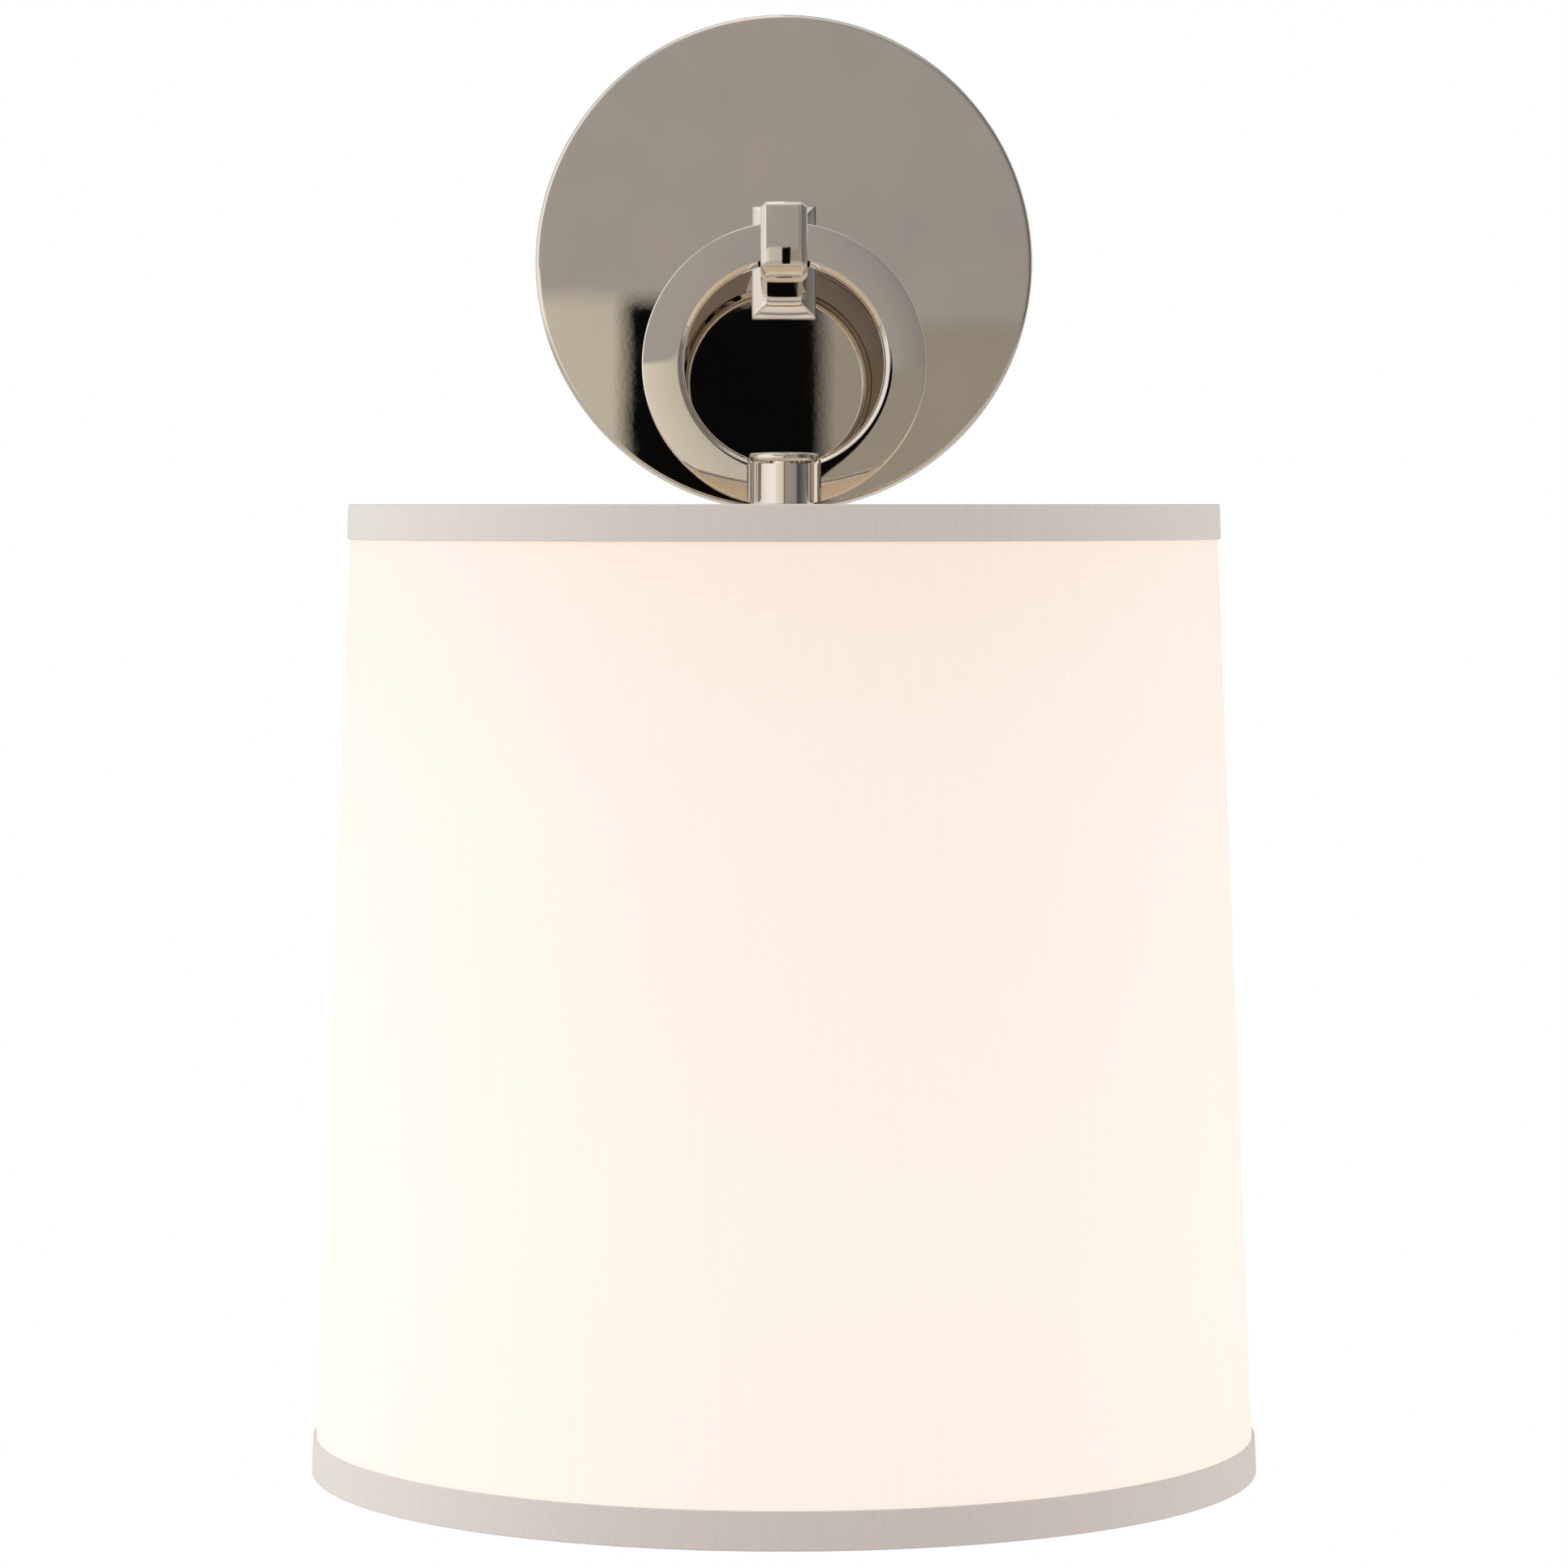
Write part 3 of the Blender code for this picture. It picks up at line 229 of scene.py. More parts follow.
def shape_with(obj, tool, operation="DIFFERENCE"):
    """Cuts, keeps or joins the tool's space, then removes the tool."""
    made = obj.modifiers.new(operation.lower(), "BOOLEAN")
    made.operation = operation
    made.solver = "EXACT"
    made.object = tool
    return bake(obj, tool)


def bake(obj, *used):
    """Makes an object's modifiers part of its mesh, and removes the objects they used."""
    graph = bpy.context.evaluated_depsgraph_get()
    mesh = bpy.data.meshes.new_from_object(obj.evaluated_get(graph))
    old = obj.data
    obj.modifiers.clear()
    obj.data = mesh
    mesh.name = old.name
    bpy.data.meshes.remove(old)
    for tool in used:
        bpy.data.objects.remove(tool)
    return smooth(obj)


def tube(name, points, radius, sides=12):
    """A round wire through its points."""
    curve = bpy.data.curves.new(name, "CURVE")
    curve.dimensions = "3D"
    curve.bevel_depth = radius
    curve.bevel_resolution = max(1, sides // 4 - 1)
    curve.use_fill_caps = True
    spline = curve.splines.new("POLY")
    spline.points.add(len(points) - 1)
    for point, place in zip(spline.points, points):
        point.co = (*place, 1.0)
    made = link(curve, name)
    graph = bpy.context.evaluated_depsgraph_get()
    mesh = bpy.data.meshes.new_from_object(made.evaluated_get(graph))
    bpy.data.objects.remove(made)
    work = bmesh.new()
    work.from_mesh(mesh)
    bpy.data.meshes.remove(mesh)
    return clean(work, name, None, 60)


def put(obj, body, material, *nodes):
    """Gives a finished piece its finish, its body and the frame nodes it stands for."""
    obj.data.materials.clear()
    obj.data.materials.append(material)
    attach(obj, body)
    if nodes:
        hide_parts(*nodes)
    return obj


# ---------------------------------------------------------------- materials
def linear(code):
    """Linear colour of an sRGB hex value."""
    parts = [int(code[i : i + 2], 16) / 255 for i in (1, 3, 5)]
    parts = [p / 12.92 if p <= 0.04045 else ((p + 0.055) / 1.055) ** 2.4 for p in parts]
    return (*parts, 1.0)


def connect(tree, made, inputs):
    """Fills inputs: a socket is linked, a node stands for its first output, the rest are values."""
    for key, value in inputs.items():
        if isinstance(value, bpy.types.Node):
            value = value.outputs[0]
        if isinstance(value, bpy.types.NodeSocket):
            tree.links.new(value, made.inputs[key])
        else:
            made.inputs[key].default_value = value


def node(tree, kind, inputs=None, stops=(), **settings):
    """Adds a node with its settings and links; stops are a colour ramp's (position, colour)."""
    made = tree.nodes.new(kind)
    for key, value in settings.items():
        setattr(made, key, value)
    for _ in stops[2:]:
        made.color_ramp.elements.new(0.5)
    for number, (position, colour) in enumerate(stops):
        made.color_ramp.elements[number].position = position
        made.color_ramp.elements[number].color = colour
    connect(tree, made, inputs or {})
    return made


def finish_named(name, **values):
    """A Principled material with its uniform values set on the shader itself, and the place on the piece."""
    made = bpy.data.materials.new(name)
    made.use_nodes = True
    tree = made.node_tree
    shader = tree.nodes["Principled BSDF"]
    for key, value in values.items():
        shader.inputs[key.replace("_", " ").title().replace("Ior", "IOR")].default_value = value
    return made, tree, shader, node(tree, "ShaderNodeTexCoord").outputs["Object"]


def grey(value):
    return (value, value, value, 1.0)


def mottled(tree, place, size, detail, *stops):
    """A tone that drifts between its stops, in patches of about a size in metres."""
    patches = node(tree, "ShaderNodeTexNoise", {"Vector": place, "Scale": 1 / size, "Detail": detail})
    return node(tree, "ShaderNodeValToRGB", {"Fac": patches}, stops)


def relief(tree, height, depth, under=None):
    """Relief of a depth in metres, on top of any relief under it."""
    inputs = {"Height": height, "Distance": depth, "Strength": 1.0}
    if under:
        inputs["Normal"] = under
    return node(tree, "ShaderNodeBump", inputs)


def grained(tree, place, size, detail, depth, under=None):
    """Relief with a grain of about a size in metres."""
    grain = node(tree, "ShaderNodeTexNoise", {"Vector": place, "Scale": 1 / size, "Detail": detail})
    return relief(tree, grain, depth, under)


def polished_nickel(name, ripple, swell):
    """Nickel plate buffed to a mirror: warm grey, with a faint orange peel left by the buffing wheel."""
    made, tree, shader, place = finish_named(name, metallic=1.0)
    tone = mottled(tree, place, 18 * MM, 3, (0.3, linear("#D6CDC2")), (0.7, linear("#CFC8BF")))
    haze = mottled(tree, place, 5 * MM, 4, (0.35, grey(0.006)), (0.75, grey(0.016)))
    slow = grained(tree, place, 16 * MM, 1, swell)
    peel = grained(tree, place, 1.1 * MM, 3, ripple, slow)
    connect(tree, shader, {"Base Color": tone, "Roughness": haze, "Normal": peel})
    return made


def zinc_steel():
    """Zinc-plated pressed steel: satin, with a cool spangle and fine drawing lines."""
    made, tree, shader, place = finish_named("zinc plated steel", metallic=1.0)
    spangle = node(tree, "ShaderNodeTexVoronoi", {"Vector": place, "Scale": 1 / (2.2 * MM)})
    stops = ((0.1, linear("#B9BDBF")), (0.8, linear("#D2D4D4")))
    tone = node(tree, "ShaderNodeValToRGB", {"Fac": spangle}, stops)
    drawn = node(tree, "ShaderNodeMapping", {"Vector": place, "Scale": (0.15, 1.0, 1.0)})
    worn = mottled(tree, drawn, 0.5 * MM, 4, (0.3, grey(0.26)), (0.7, grey(0.42)))
    lines = grained(tree, drawn, 0.5 * MM, 4, 0.006 * MM)
    connect(tree, shader, {"Base Color": tone, "Roughness": worn, "Normal": lines})
    return made


def brass():
    """Pressed brass, slightly tarnished: yellow with browner patches."""
    made, tree, shader, place = finish_named("pressed brass", metallic=1.0)
    tone = mottled(tree, place, 4 * MM, 4, (0.3, linear("#C9A45C")), (0.75, linear("#DDBD78")))
    worn = mottled(tree, place, 4 * MM, 4, (0.3, grey(0.34)), (0.7, grey(0.22)))
    skin = grained(tree, place, 0.8 * MM, 3, 0.004 * MM)
    connect(tree, shader, {"Base Color": tone, "Roughness": worn, "Normal": skin})
    return made


def moulded(name, dark, light, roughness):
    """Moulded or enamelled material: an even colour with a very fine pebble in the gloss."""
    made, tree, shader, place = finish_named(name, ior=1.5)
    tone = mottled(tree, place, 6 * MM, 3, (0.3, linear(dark)), (0.7, linear(light)))
    worn = mottled(tree, place, 2 * MM, 3, (0.3, grey(roughness * 0.85)), (0.7, grey(roughness * 1.15)))
    pebble = grained(tree, place, 0.35 * MM, 2, 0.004 * MM)
    connect(tree, shader, {"Base Color": tone, "Roughness": worn, "Normal": pebble})
    return made


AROUND = 2 * math.pi * 85 * MM  # length of cloth round the shade's middle


def woven(tree, uv, threads):
    """Height of a plain weave, from a UV map in (turns, metres)."""
    parts = node(tree, "ShaderNodeSeparateXYZ", {"Vector": uv})
    waves = []
    for socket, length in (("X", AROUND), ("Y", 1.0)):
        count = length * 2 * math.pi / threads
        phase = node(tree, "ShaderNodeMath", {0: parts.outputs[socket], 1: count}, operation="MULTIPLY")
        waves.append(node(tree, "ShaderNodeMath", {0: phase}, operation="SINE"))
    both = node(tree, "ShaderNodeMath", {0: waves[0], 1: waves[1]}, operation="MULTIPLY")
    return node(tree, "ShaderNodeMath", {0: both, 1: 0.5, 2: 0.5}, operation="MULTIPLY_ADD")


def silk(name, dark, light, glow, strength, streaks, threads=0.5 * MM):
    """Silk cloth on a stiff lining: very close plain weave with faint streaks, and the light coming through it
    from behind painted in as a glow.
    """
    made, tree, shader, place = finish_named(
        name, roughness=0.8, ior=1.45, sheen_weight=0.2, sheen_roughness=0.5, emission_strength=strength
    )
    uv = node(tree, "ShaderNodeUVMap", uv_map="surface")
    wide = node(tree, "ShaderNodeMapping", {"Vector": uv, "Scale": (AROUND / MM, 22.0, 1.0)})
    streak = node(tree, "ShaderNodeTexNoise", {"Vector": wide, "Scale": 1.0, "Detail": 4.0})
    narrow = node(tree, "ShaderNodeMapping", {"Vector": uv, "Scale": (AROUND / MM * 12, 900.0, 1.0)})
    flecks = node(tree, "ShaderNodeTexNoise", {"Vector": narrow, "Scale": 0.35, "Detail": 2.0})
    both = node(tree, "ShaderNodeMath", {0: streak, 1: flecks}, operation="ADD")
    slubs = node(tree, "ShaderNodeMath", {0: both, 1: 0.5}, operation="MULTIPLY")
    tone = node(tree, "ShaderNodeValToRGB", {"Fac": slubs}, ((0.35, linear(dark)), (0.65, linear(light))))
    # Painted light: the emission colour follows the height on the shade and stands in for the bulb's light
    # coming through the cloth. The random slub streaks dim this painted glow in places.
    height = node(tree, "ShaderNodeSeparateXYZ", {"Vector": place}).outputs["Z"]
    level = node(tree, "ShaderNodeMapRange", {"Value": height, "From Min": SHADE_BOTTOM, "From Max": SHADE_TOP})
    colour = node(tree, "ShaderNodeValToRGB", {"Fac": level}, [(at, linear(code)) for at, code in glow])
    mottle = node(tree, "ShaderNodeValToRGB", {"Fac": slubs}, ((0.35, grey(1.0 - streaks)), (0.65, grey(1.0))))
    mixed = {0: 1.0, 6: colour, 7: mottle}
    painted_glow = node(tree, "ShaderNodeMix", mixed, data_type="RGBA", blend_type="MULTIPLY").outputs[2]
    weave = relief(tree, woven(tree, uv, threads), 0.02 * MM)
    connect(tree, shader, {"Base Color": tone, "Emission Color": painted_glow, "Normal": weave})
    return made


def lit_glass():
    """Frosted bulb glass, lit: soft white that is brightest round its belly."""
    lit = {"roughness": 0.35, "ior": 1.5, "emission_strength": 0.75, "base_color": linear("#F4F1EA")}
    made, tree, shader, place = finish_named("frosted glass", **lit)
    height = node(tree, "ShaderNodeSeparateXYZ", {"Vector": place}).outputs["Z"]
    span = {"From Min": glass_low.z, "From Max": glass_high.z}
    level = node(tree, "ShaderNodeMapRange", {"Value": height, **span})
    stops = ((0.0, linear("#FFE9CF")), (0.55, linear("#FFF3E2")), (1.0, linear("#F0C795")))
    glow = node(tree, "ShaderNodeValToRGB", {"Fac": level}, stops)
    frost = grained(tree, place, 0.4 * MM, 2, 0.004 * MM)
    connect(tree, shader, {"Emission Color": glow, "Normal": frost})
    return made


def sleeving():
    """Braided lead sleeving: fine crossing strands."""
    made, tree, shader, place = finish_named("braided sleeving", roughness=0.7, sheen_weight=0.2)
    braid = node(tree, "ShaderNodeTexVoronoi", {"Vector": place, "Scale": 1 / (0.5 * MM)})
    stops = ((0.2, linear("#A39F99")), (0.8, linear("#5F5C58")))
    tone = node(tree, "ShaderNodeValToRGB", {"Fac": braid}, stops)
    connect(tree, shader, {"Base Color": tone, "Normal": relief(tree, braid, 0.05 * MM)})
    return made


PLATE_NICKEL = polished_nickel("polished nickel, pressed", 0.00025 * MM, 0.003 * MM)
CAST_NICKEL = polished_nickel("polished nickel, cast", 0.0003 * MM, 0.012 * MM)
ZINC = zinc_steel()
BRASS = brass()
ENAMEL = moulded("white enamel", "#E9E7E1", "#F2F0EB", 0.3)
PORCELAIN = moulded("glazed porcelain", "#ECE8DE", "#F5F2EA", 0.12)
BLACK = moulded("black insulation", "#151516", "#1E1E20", 0.42)
WHITE = moulded("white insulation", "#DCDAD4", "#E8E6E0", 0.42)
GREEN = moulded("green insulation", "#1C6B34", "#23793D", 0.42)
SLEEVE = sleeving()
GLASS = lit_glass()
# Painted glow of the shade, from its bottom (0) to its top (1), standing in for the bulb's light through the
# cloth. The cover's painted glow is darker and warmer at the top. The lining gets a warm painted glow on top of
# the bulb's real light. The tapes get a faint painted glow that lessens towards the top. The cover's own colour
# is kept a dark grey so that its painted glow sets how bright it looks.
COVER_PAINTED_GLOW = ((0.0, "#E2D5C7"), (0.3, "#E1D6C9"), (0.7, "#E0D2C5"), (1.0, "#DCC9B9"))
COVER_SILK = silk("ivory silk", "#888684", "#8C8A88", COVER_PAINTED_GLOW, 1.0, 0.007)
LINING_PAINTED_GLOW = ((0.0, "#E0BE96"), (1.0, "#D8B084"))
LINING = silk("white lining", "#E4DED2", "#EDE8DD", LINING_PAINTED_GLOW, 0.2, 0.02)
TRIM_PAINTED_GLOW = ((0.0, "#241C17"), (0.5, "#201914"), (1.0, "#1D1612"))
TRIM_SILK = silk("silk tape", "#CAC0B8", "#CEC5BD", TRIM_PAINTED_GLOW, 1.0, 0.008, 0.6 * MM)


# ---------------------------------------------------------------- wall side
def backplate():
    """Spun dish with a flat mirror face, a rounded front edge and a straight rim back to the wall."""
    wall, edge, hole = 1.2 * MM, 1.0 * MM, NIPPLE_RADIUS + 0.3 * MM
    profile = [(hole, PLATE_DEPTH)]
    flat_end = PLATE_RADIUS - edge
    rounds = (10 * MM, 25 * MM, 40 * MM, flat_end - 0.2 * MM, flat_end - 0.05 * MM)
    profile += [(r, PLATE_DEPTH) for r in rounds]
    profile += arc((flat_end, PLATE_DEPTH - edge), (edge, edge), 90, 0, 10)
    profile += arc((PLATE_RADIUS - 0.3 * MM, 0.3 * MM), (0.3 * MM, 0.3 * MM), 0, -90, 3)
    profile += [(PLATE_RADIUS - wall, 0.0)]
    profile += arc((PLATE_RADIUS - wall - edge, PLATE_DEPTH - wall - edge), (edge, edge), 0, 90, 5)
    profile += [(hole, PLATE_DEPTH - wall)]
    plate = turned("spun_backplate", profile, facing())
    for point in plate.data.vertices:
        point.co.y -= PLATE_TURN * point.co.x * point.co.y / PLATE_DEPTH
    for side in (-1, 1):
        low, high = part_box("set_screw_right")
        radius = (high.z - low.z) / 2 + 0.3 * MM
        shape_with(plate, peg(radius, -4 * MM, 4 * MM, across(side * 50 * MM, (high.y + low.y) / 2, 0)))
    put(plate, WALL, PLATE_NICKEL, "backplate")


def arm():
    """Cast arm: chamfered foot, tapering bar, an eye for the ring and a rounded finger in front of it."""
    half_eye, half_wall, root, front = 7.6 * MM, 9.0 * MM, -PLATE_DEPTH - 2.8 * MM, arm_low.y
    crown, roll = 1.3 * MM, 4.4 * MM
    outline = [(root, -half_wall), (root, half_wall)]
    outline += arc((front + crown, half_eye - crown), (crown, crown), 90, 176, 8)
    outline += [(front, half_eye - 3.5 * MM), (front, 0.0), (front, roll - half_eye)]
    outline += arc((front + roll, roll - half_eye), (roll, roll), 183, 270, 14)
    turn = Matrix(((0, 0, 1, 0), (1, 0, 0, 0), (0, 1, 0, 0), (0, 0, 0, 1)))
    half, edge = ARM_WIDTH / 2, ARM_EDGE
    face = half - edge
    layers = [(face * k / 5, ARM_DOME / 2 * (face * k / 5) ** 2) for k in range(6)]
    rounding = ((0.12, 0.1), (0.24, 0.2), (0.86, 0.82), (0.97, 0.95), (1.0, 1.1))
    layers += [(face + edge * far, edge * deep) for far, deep in rounding]
    layers = [(-far, deep) for far, deep in layers[:0:-1]] + layers
    bar = bar_between("cast_arm", outline, layers, turn)
    foot = box_between("foot", (arm_low.x, -PLATE_DEPTH - 5.3 * MM, arm_low.z), arm_high)
    work = bmesh.new()
    work.from_mesh(foot.data)
    edges = [e for e in work.edges if all(v.co.y < arm_high.y - 1 * MM for v in e.verts)]
    bmesh.ops.bevel(work, geom=edges, offset=BASE_CHAMFER, segments=1, affect="EDGES")
    work.to_mesh(foot.data)
    work.free()
    bake(soften(foot, 0.35 * MM, 2, 20))
    shape_with(bar, foot, "UNION")
    eye_low = (-1, cuff_low.y - EYE_ROOM, cuff_low.z - 0.75 * MM)
    eye_high = (1, cuff_high.y + EYE_ROOM, cuff_high.z + 0.7 * MM)
    shape_with(bar, bake(soften(box_between("eye", eye_low, eye_high), 0.5 * MM, 3)))
    lead, thread = 2.5 * MM, NIPPLE_RADIUS + 0.2 * MM
    bore = [(0, 98 * MM), (lead, 98 * MM), (lead, 18 * MM), (thread, 18 * MM), (thread, 10 * MM), (0, 10 * MM)]
    shape_with(bar, turned("bore", bore, facing(), COARSE, False))
    put(bar, WALL, CAST_NICKEL, "hook_arm")


# ---------------------------------------------------------------- ring, cuff and stem
def ring_section(grow=0.0, depth=0.0, groove=None):
    """Section of the ring as (radius, forward): domed faces, a crisp outer edge and a chamfered inner one."""
    outer, inner, half = RING_RADIUS + grow, RING_INNER - grow, RING_HALF + depth
    edge, turn, depth_in = 0.35 * MM, 0.3 * MM, 0.95 * MM
    face_in, face_out = inner + RING_CHAMFER, outer - edge
    radii = [face_in + (face_out - face_in) * k / 10 for k in range(11)]
    dome = [(r, half - RING_DOME / 2 * (r - face_in) ** 2) for r in radii]
    front = dome[-1][1]
    section = dome + arc((face_out, front - edge), (edge, edge), 76, 0, 5)
    section += arc((face_out, edge - front), (edge, edge), 0, -76, 5)
    back = [(r, -y) for r, y in dome][::-1]
    if groove:
        low, high, floor = groove
        lip = half - RING_DOME / 2 * (high - face_in) ** 2
        back = [p for p in back if p[0] > high] + [(high, -lip), (high, floor)]
        back += [(low, floor), (low, -half)] + [(r, -y) for r, y in dome if r < low][::-1]
    section += back
    cone = math.degrees(math.atan2(depth_in, RING_CHAMFER - turn))
    inner_half = half - depth_in
    section = [p for p in section if p[1] > 0 or p[0] > inner + 0.6 * MM]
    section += arc((inner + 0.5 * MM, 0.5 * MM - half), (0.5 * MM, 0.5 * MM), 265, 180, 5)
    section += arc((inner + turn, inner_half), (turn, turn), 180, 90 + cone, 4)
    section += arc((face_in, half - turn), (turn, turn), 90 + cone, 92, 4)
    return section


def ring_place():
    return facing(0, SHADE_Y, RING_Z) @ Matrix.Rotation(-RING_LEAN, 4, "X")


def cap_seat():
    """Space for the stem's cap inside the ring."""
    low = cap_low.z + 1.7 * MM
    return peg(CAP_RADIUS + 0.25 * MM, low, low + 8 * MM, AXIS, MEDIUM)


def flute(piece):
    """Hollow the ring's face into a cove on each side of the stem."""
    radius = SPLIT - STEM_RADIUS + 0.1 * MM
    for x in (-STEM_RADIUS, STEM_RADIUS):
        place = upright(x, SHADE_Y - RING_HALF - 0.2 * MM, RING_Z)
        shape_with(piece, peg(radius, -40 * MM, -RING_INNER * 0.7, place, MEDIUM))


def ring():
    """The split ring, the cover of its wire groove, and the cuff it rocks in."""
    groove = (20.9 * MM, 25.6 * MM, 0.8 * MM)
    hoop = turned("domed_ring", ring_section(groove=groove), ring_place(), 360)
    below = RING_Z - RING_INNER * 0.8
    gap = ((-SPLIT, SHADE_Y - 9 * MM, RING_Z - 40 * MM), (SPLIT, SHADE_Y + 9 * MM, below))
    shape_with(hoop, box_between("gap", *gap))
    flute(hoop)
    put(hoop, HANGING, CAST_NICKEL, "ring")
    low, high = groove[0] + 0.1 * MM, groove[1] - 0.1 * MM
    radii = [high + (low - high) * k / 6 for k in range(7)]
    outline = [(low, 0.8 * MM - RING_HALF), (high, 0.8 * MM - RING_HALF)]
    outline += [
        (r, RING_DOME / 2 * (r - RING_INNER - RING_CHAMFER) ** 2 - RING_HALF + 0.05 * MM) for r in radii
    ]
    cover = shape_with(turned("groove_cover", outline, ring_place(), 360), box_between("gap", *gap))
    at = Matrix.Translation((0, SHADE_Y, RING_Z + (low + high) / 2)) @ Matrix.Rotation(-math.pi / 2, 4, "X")
    shape_with(cover, peg(1.6 * MM, 0, 9 * MM, at, 24))
    put(cover, HANGING, CAST_NICKEL, "ring_back_cover")
    cuff = box_between("eye_cuff", cuff_low + Vector((0, 0, -1 * MM)), cuff_high)
    bake(soften(cuff, 0.4 * MM, 3))
    shape_with(cuff, turned("hollow", ring_section(0.25 * MM, 0.25 * MM), ring_place(), 360))
    shape_with(cuff, peg(RING_INNER - 0.7 * MM, -20 * MM, 20 * MM, ring_place(), 360))
    shape_with(cuff, peg(1.6 * MM, 0, 9 * MM, at, 24))
    put(cuff, HANGING, CAST_NICKEL, "ring_cuff")


def stem():
    """Turned stem with the boss that joins the ring's ends, and the flanged cap above it."""
    top = cap_low.z + 1.6 * MM
    shoulder, spigot = shade_high.z - 8.4 * MM, 4.0 * MM
    outline = [(0, top), (STEM_RADIUS, top), (STEM_RADIUS, shoulder)]
    outline += [(spigot, shoulder), (spigot, stem_low.z), (0, stem_low.z)]
    post = turned("turned_stem", outline, AXIS, MEDIUM, False)
    boss = turned("boss", ring_section(), ring_place(), 360)
    low, high = (-SPLIT + 0.15 * MM, -1, RING_Z - 40 * MM), (SPLIT - 0.15 * MM, 0, RING_Z - RING_INNER * 0.8)
    shape_with(boss, box_between("keep", low, high), "INTERSECT")
    flute(boss)
    shape_with(post, boss, "UNION")
    shape_with(post, cap_seat())
    put(post, HANGING, CAST_NICKEL, "stem")
    edge, under = 0.5 * MM, cap_low.z + 2.0 * MM
    rim = cap_high.z - 0.2 * MM
    profile = [(0, cap_high.z), (CAP_RADIUS * 0.6, rim + 0.12 * MM)]
    profile += arc((CAP_RADIUS - edge, rim - edge), (edge, edge), 80, 0, 6)
    profile += arc((CAP_RADIUS - edge, under + edge), (edge, edge), 0, -90, 4)
    profile += [(3.0 * MM, under), (3.0 * MM, cap_low.z), (0, cap_low.z)]
    cap = turned("flanged_cap", profile, AXIS, MEDIUM, False)
    put(cap, HANGING, CAST_NICKEL, "stem_cap")


# ---------------------------------------------------------------- shade
SLOPE = (BOTTOM_RADIUS - TOP_RADIUS) / (SHADE_TOP - SHADE_BOTTOM)


def shade_radius(height, inset=0.0):
    return TOP_RADIUS + (SHADE_TOP - height) * SLOPE - inset


def shell(name, top, bottom, outside, inside, rows=24):
    """A thin tapered drum between two heights and two insets."""
    heights = [top + (bottom - top) * k / rows for k in range(rows + 1)]
    profile = [(shade_radius(z, outside), z) for z in heights]
    profile += [(shade_radius(z, inside), z) for z in reversed(heights)]
    return turned(name, profile, AXIS, FINE)


def folded_tape(name, edge, way, height):
    """A tape folded over the shade's edge, with soft corners."""
    thick, back, bend = 0.45 * MM, 3.9 * MM, 0.4 * MM
    hem = edge + way * height
    profile = [(shade_radius(edge, back), edge)]
    for turn in range(0, 91, 18):
        t = math.radians(turn)
        z = edge + way * bend * (1 - math.sin(math.radians(90) - t))
        profile.append((shade_radius(z) - bend * (1 - math.sin(t)), z))
    profile += [(shade_radius(hem - way * 0.12 * MM), hem - way * 0.12 * MM)]
    profile += [(shade_radius(hem, 0.14 * MM), hem), (shade_radius(hem, thick), hem)]
    profile += [(shade_radius(edge + way * thick, thick), edge + way * thick)]
    profile += [(shade_radius(edge, back), edge + way * thick)]
    return turned(name, profile, AXIS, FINE)


def shade():
    """Silk cover stretched on its lining, with a folded tape round each end."""
    edge_room, skin = 0.6 * MM, 0.45 * MM
    top, bottom = SHADE_TOP - edge_room, SHADE_BOTTOM + edge_room
    cover = shell("silk_cover", top, bottom, edge_room, edge_room + skin)
    lining = shell("shade_lining", top, bottom, edge_room + skin + 0.05 * MM, edge_room + 0.95 * MM)
    put(cover, HANGING, COVER_SILK, "shade_panel")
    put(lining, HANGING, LINING)
    for end, edge, way in (("top", SHADE_TOP, -1), ("bottom", SHADE_BOTTOM, 1)):
        low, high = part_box(f"{end}_trim")
        tape = folded_tape(f"{end}_tape", edge, way, high.z - low.z)
        put(tape, HANGING, TRIM_SILK, f"{end}_trim")


# ---------------------------------------------------------------- trees for what repeats
def tree_of(name, **inputs):
    """A geometry tree with named inputs, given as label="socket kind"."""
    group = bpy.data.node_groups.new(name, "GeometryNodeTree")
    group.interface.new_socket("Geometry", in_out="OUTPUT", socket_type="NodeSocketGeometry")
    for label, kind in inputs.items():
        group.interface.new_socket(label, in_out="INPUT", socket_type=f"NodeSocket{kind}")
    return group, node(group, "NodeGroupInput").outputs


def close_tree(group, geometry, material):
    """Ends a tree in real, finished geometry."""
    real = node(group, "GeometryNodeRealizeInstances", {"Geometry": geometry})
    done = node(group, "GeometryNodeSetMaterial", {"Geometry": real, "Material": material})
    node(group, "NodeGroupOutput", {"Geometry": done})
    return group


def thread_tree():
    """A rolled screw thread: one round-topped ridge along a spiral."""
    sizes = {"Radius": "Float", "Pitch": "Float", "Turns": "Float", "Ridge": "Float"}
    group, given = tree_of("thread", **sizes, Material="Material")
    climb = node(group, "ShaderNodeMath", {0: given["Pitch"], 1: given["Turns"]}, operation="MULTIPLY")
    ends = {"Start Radius": given["Radius"], "End Radius": given["Radius"], "Height": climb}
    spiral = node(group, "GeometryNodeCurveSpiral", {"Resolution": 40, "Rotations": given["Turns"], **ends})
    section = node(group, "GeometryNodeCurvePrimitiveCircle", {"Resolution": 8, "Radius": given["Ridge"]})
    rounds = {"Curve": spiral, "Profile Curve": section, "Fill Caps": True}
    ridge = node(group, "GeometryNodeCurveToMesh", rounds)
    return close_tree(group, ridge, given["Material"])


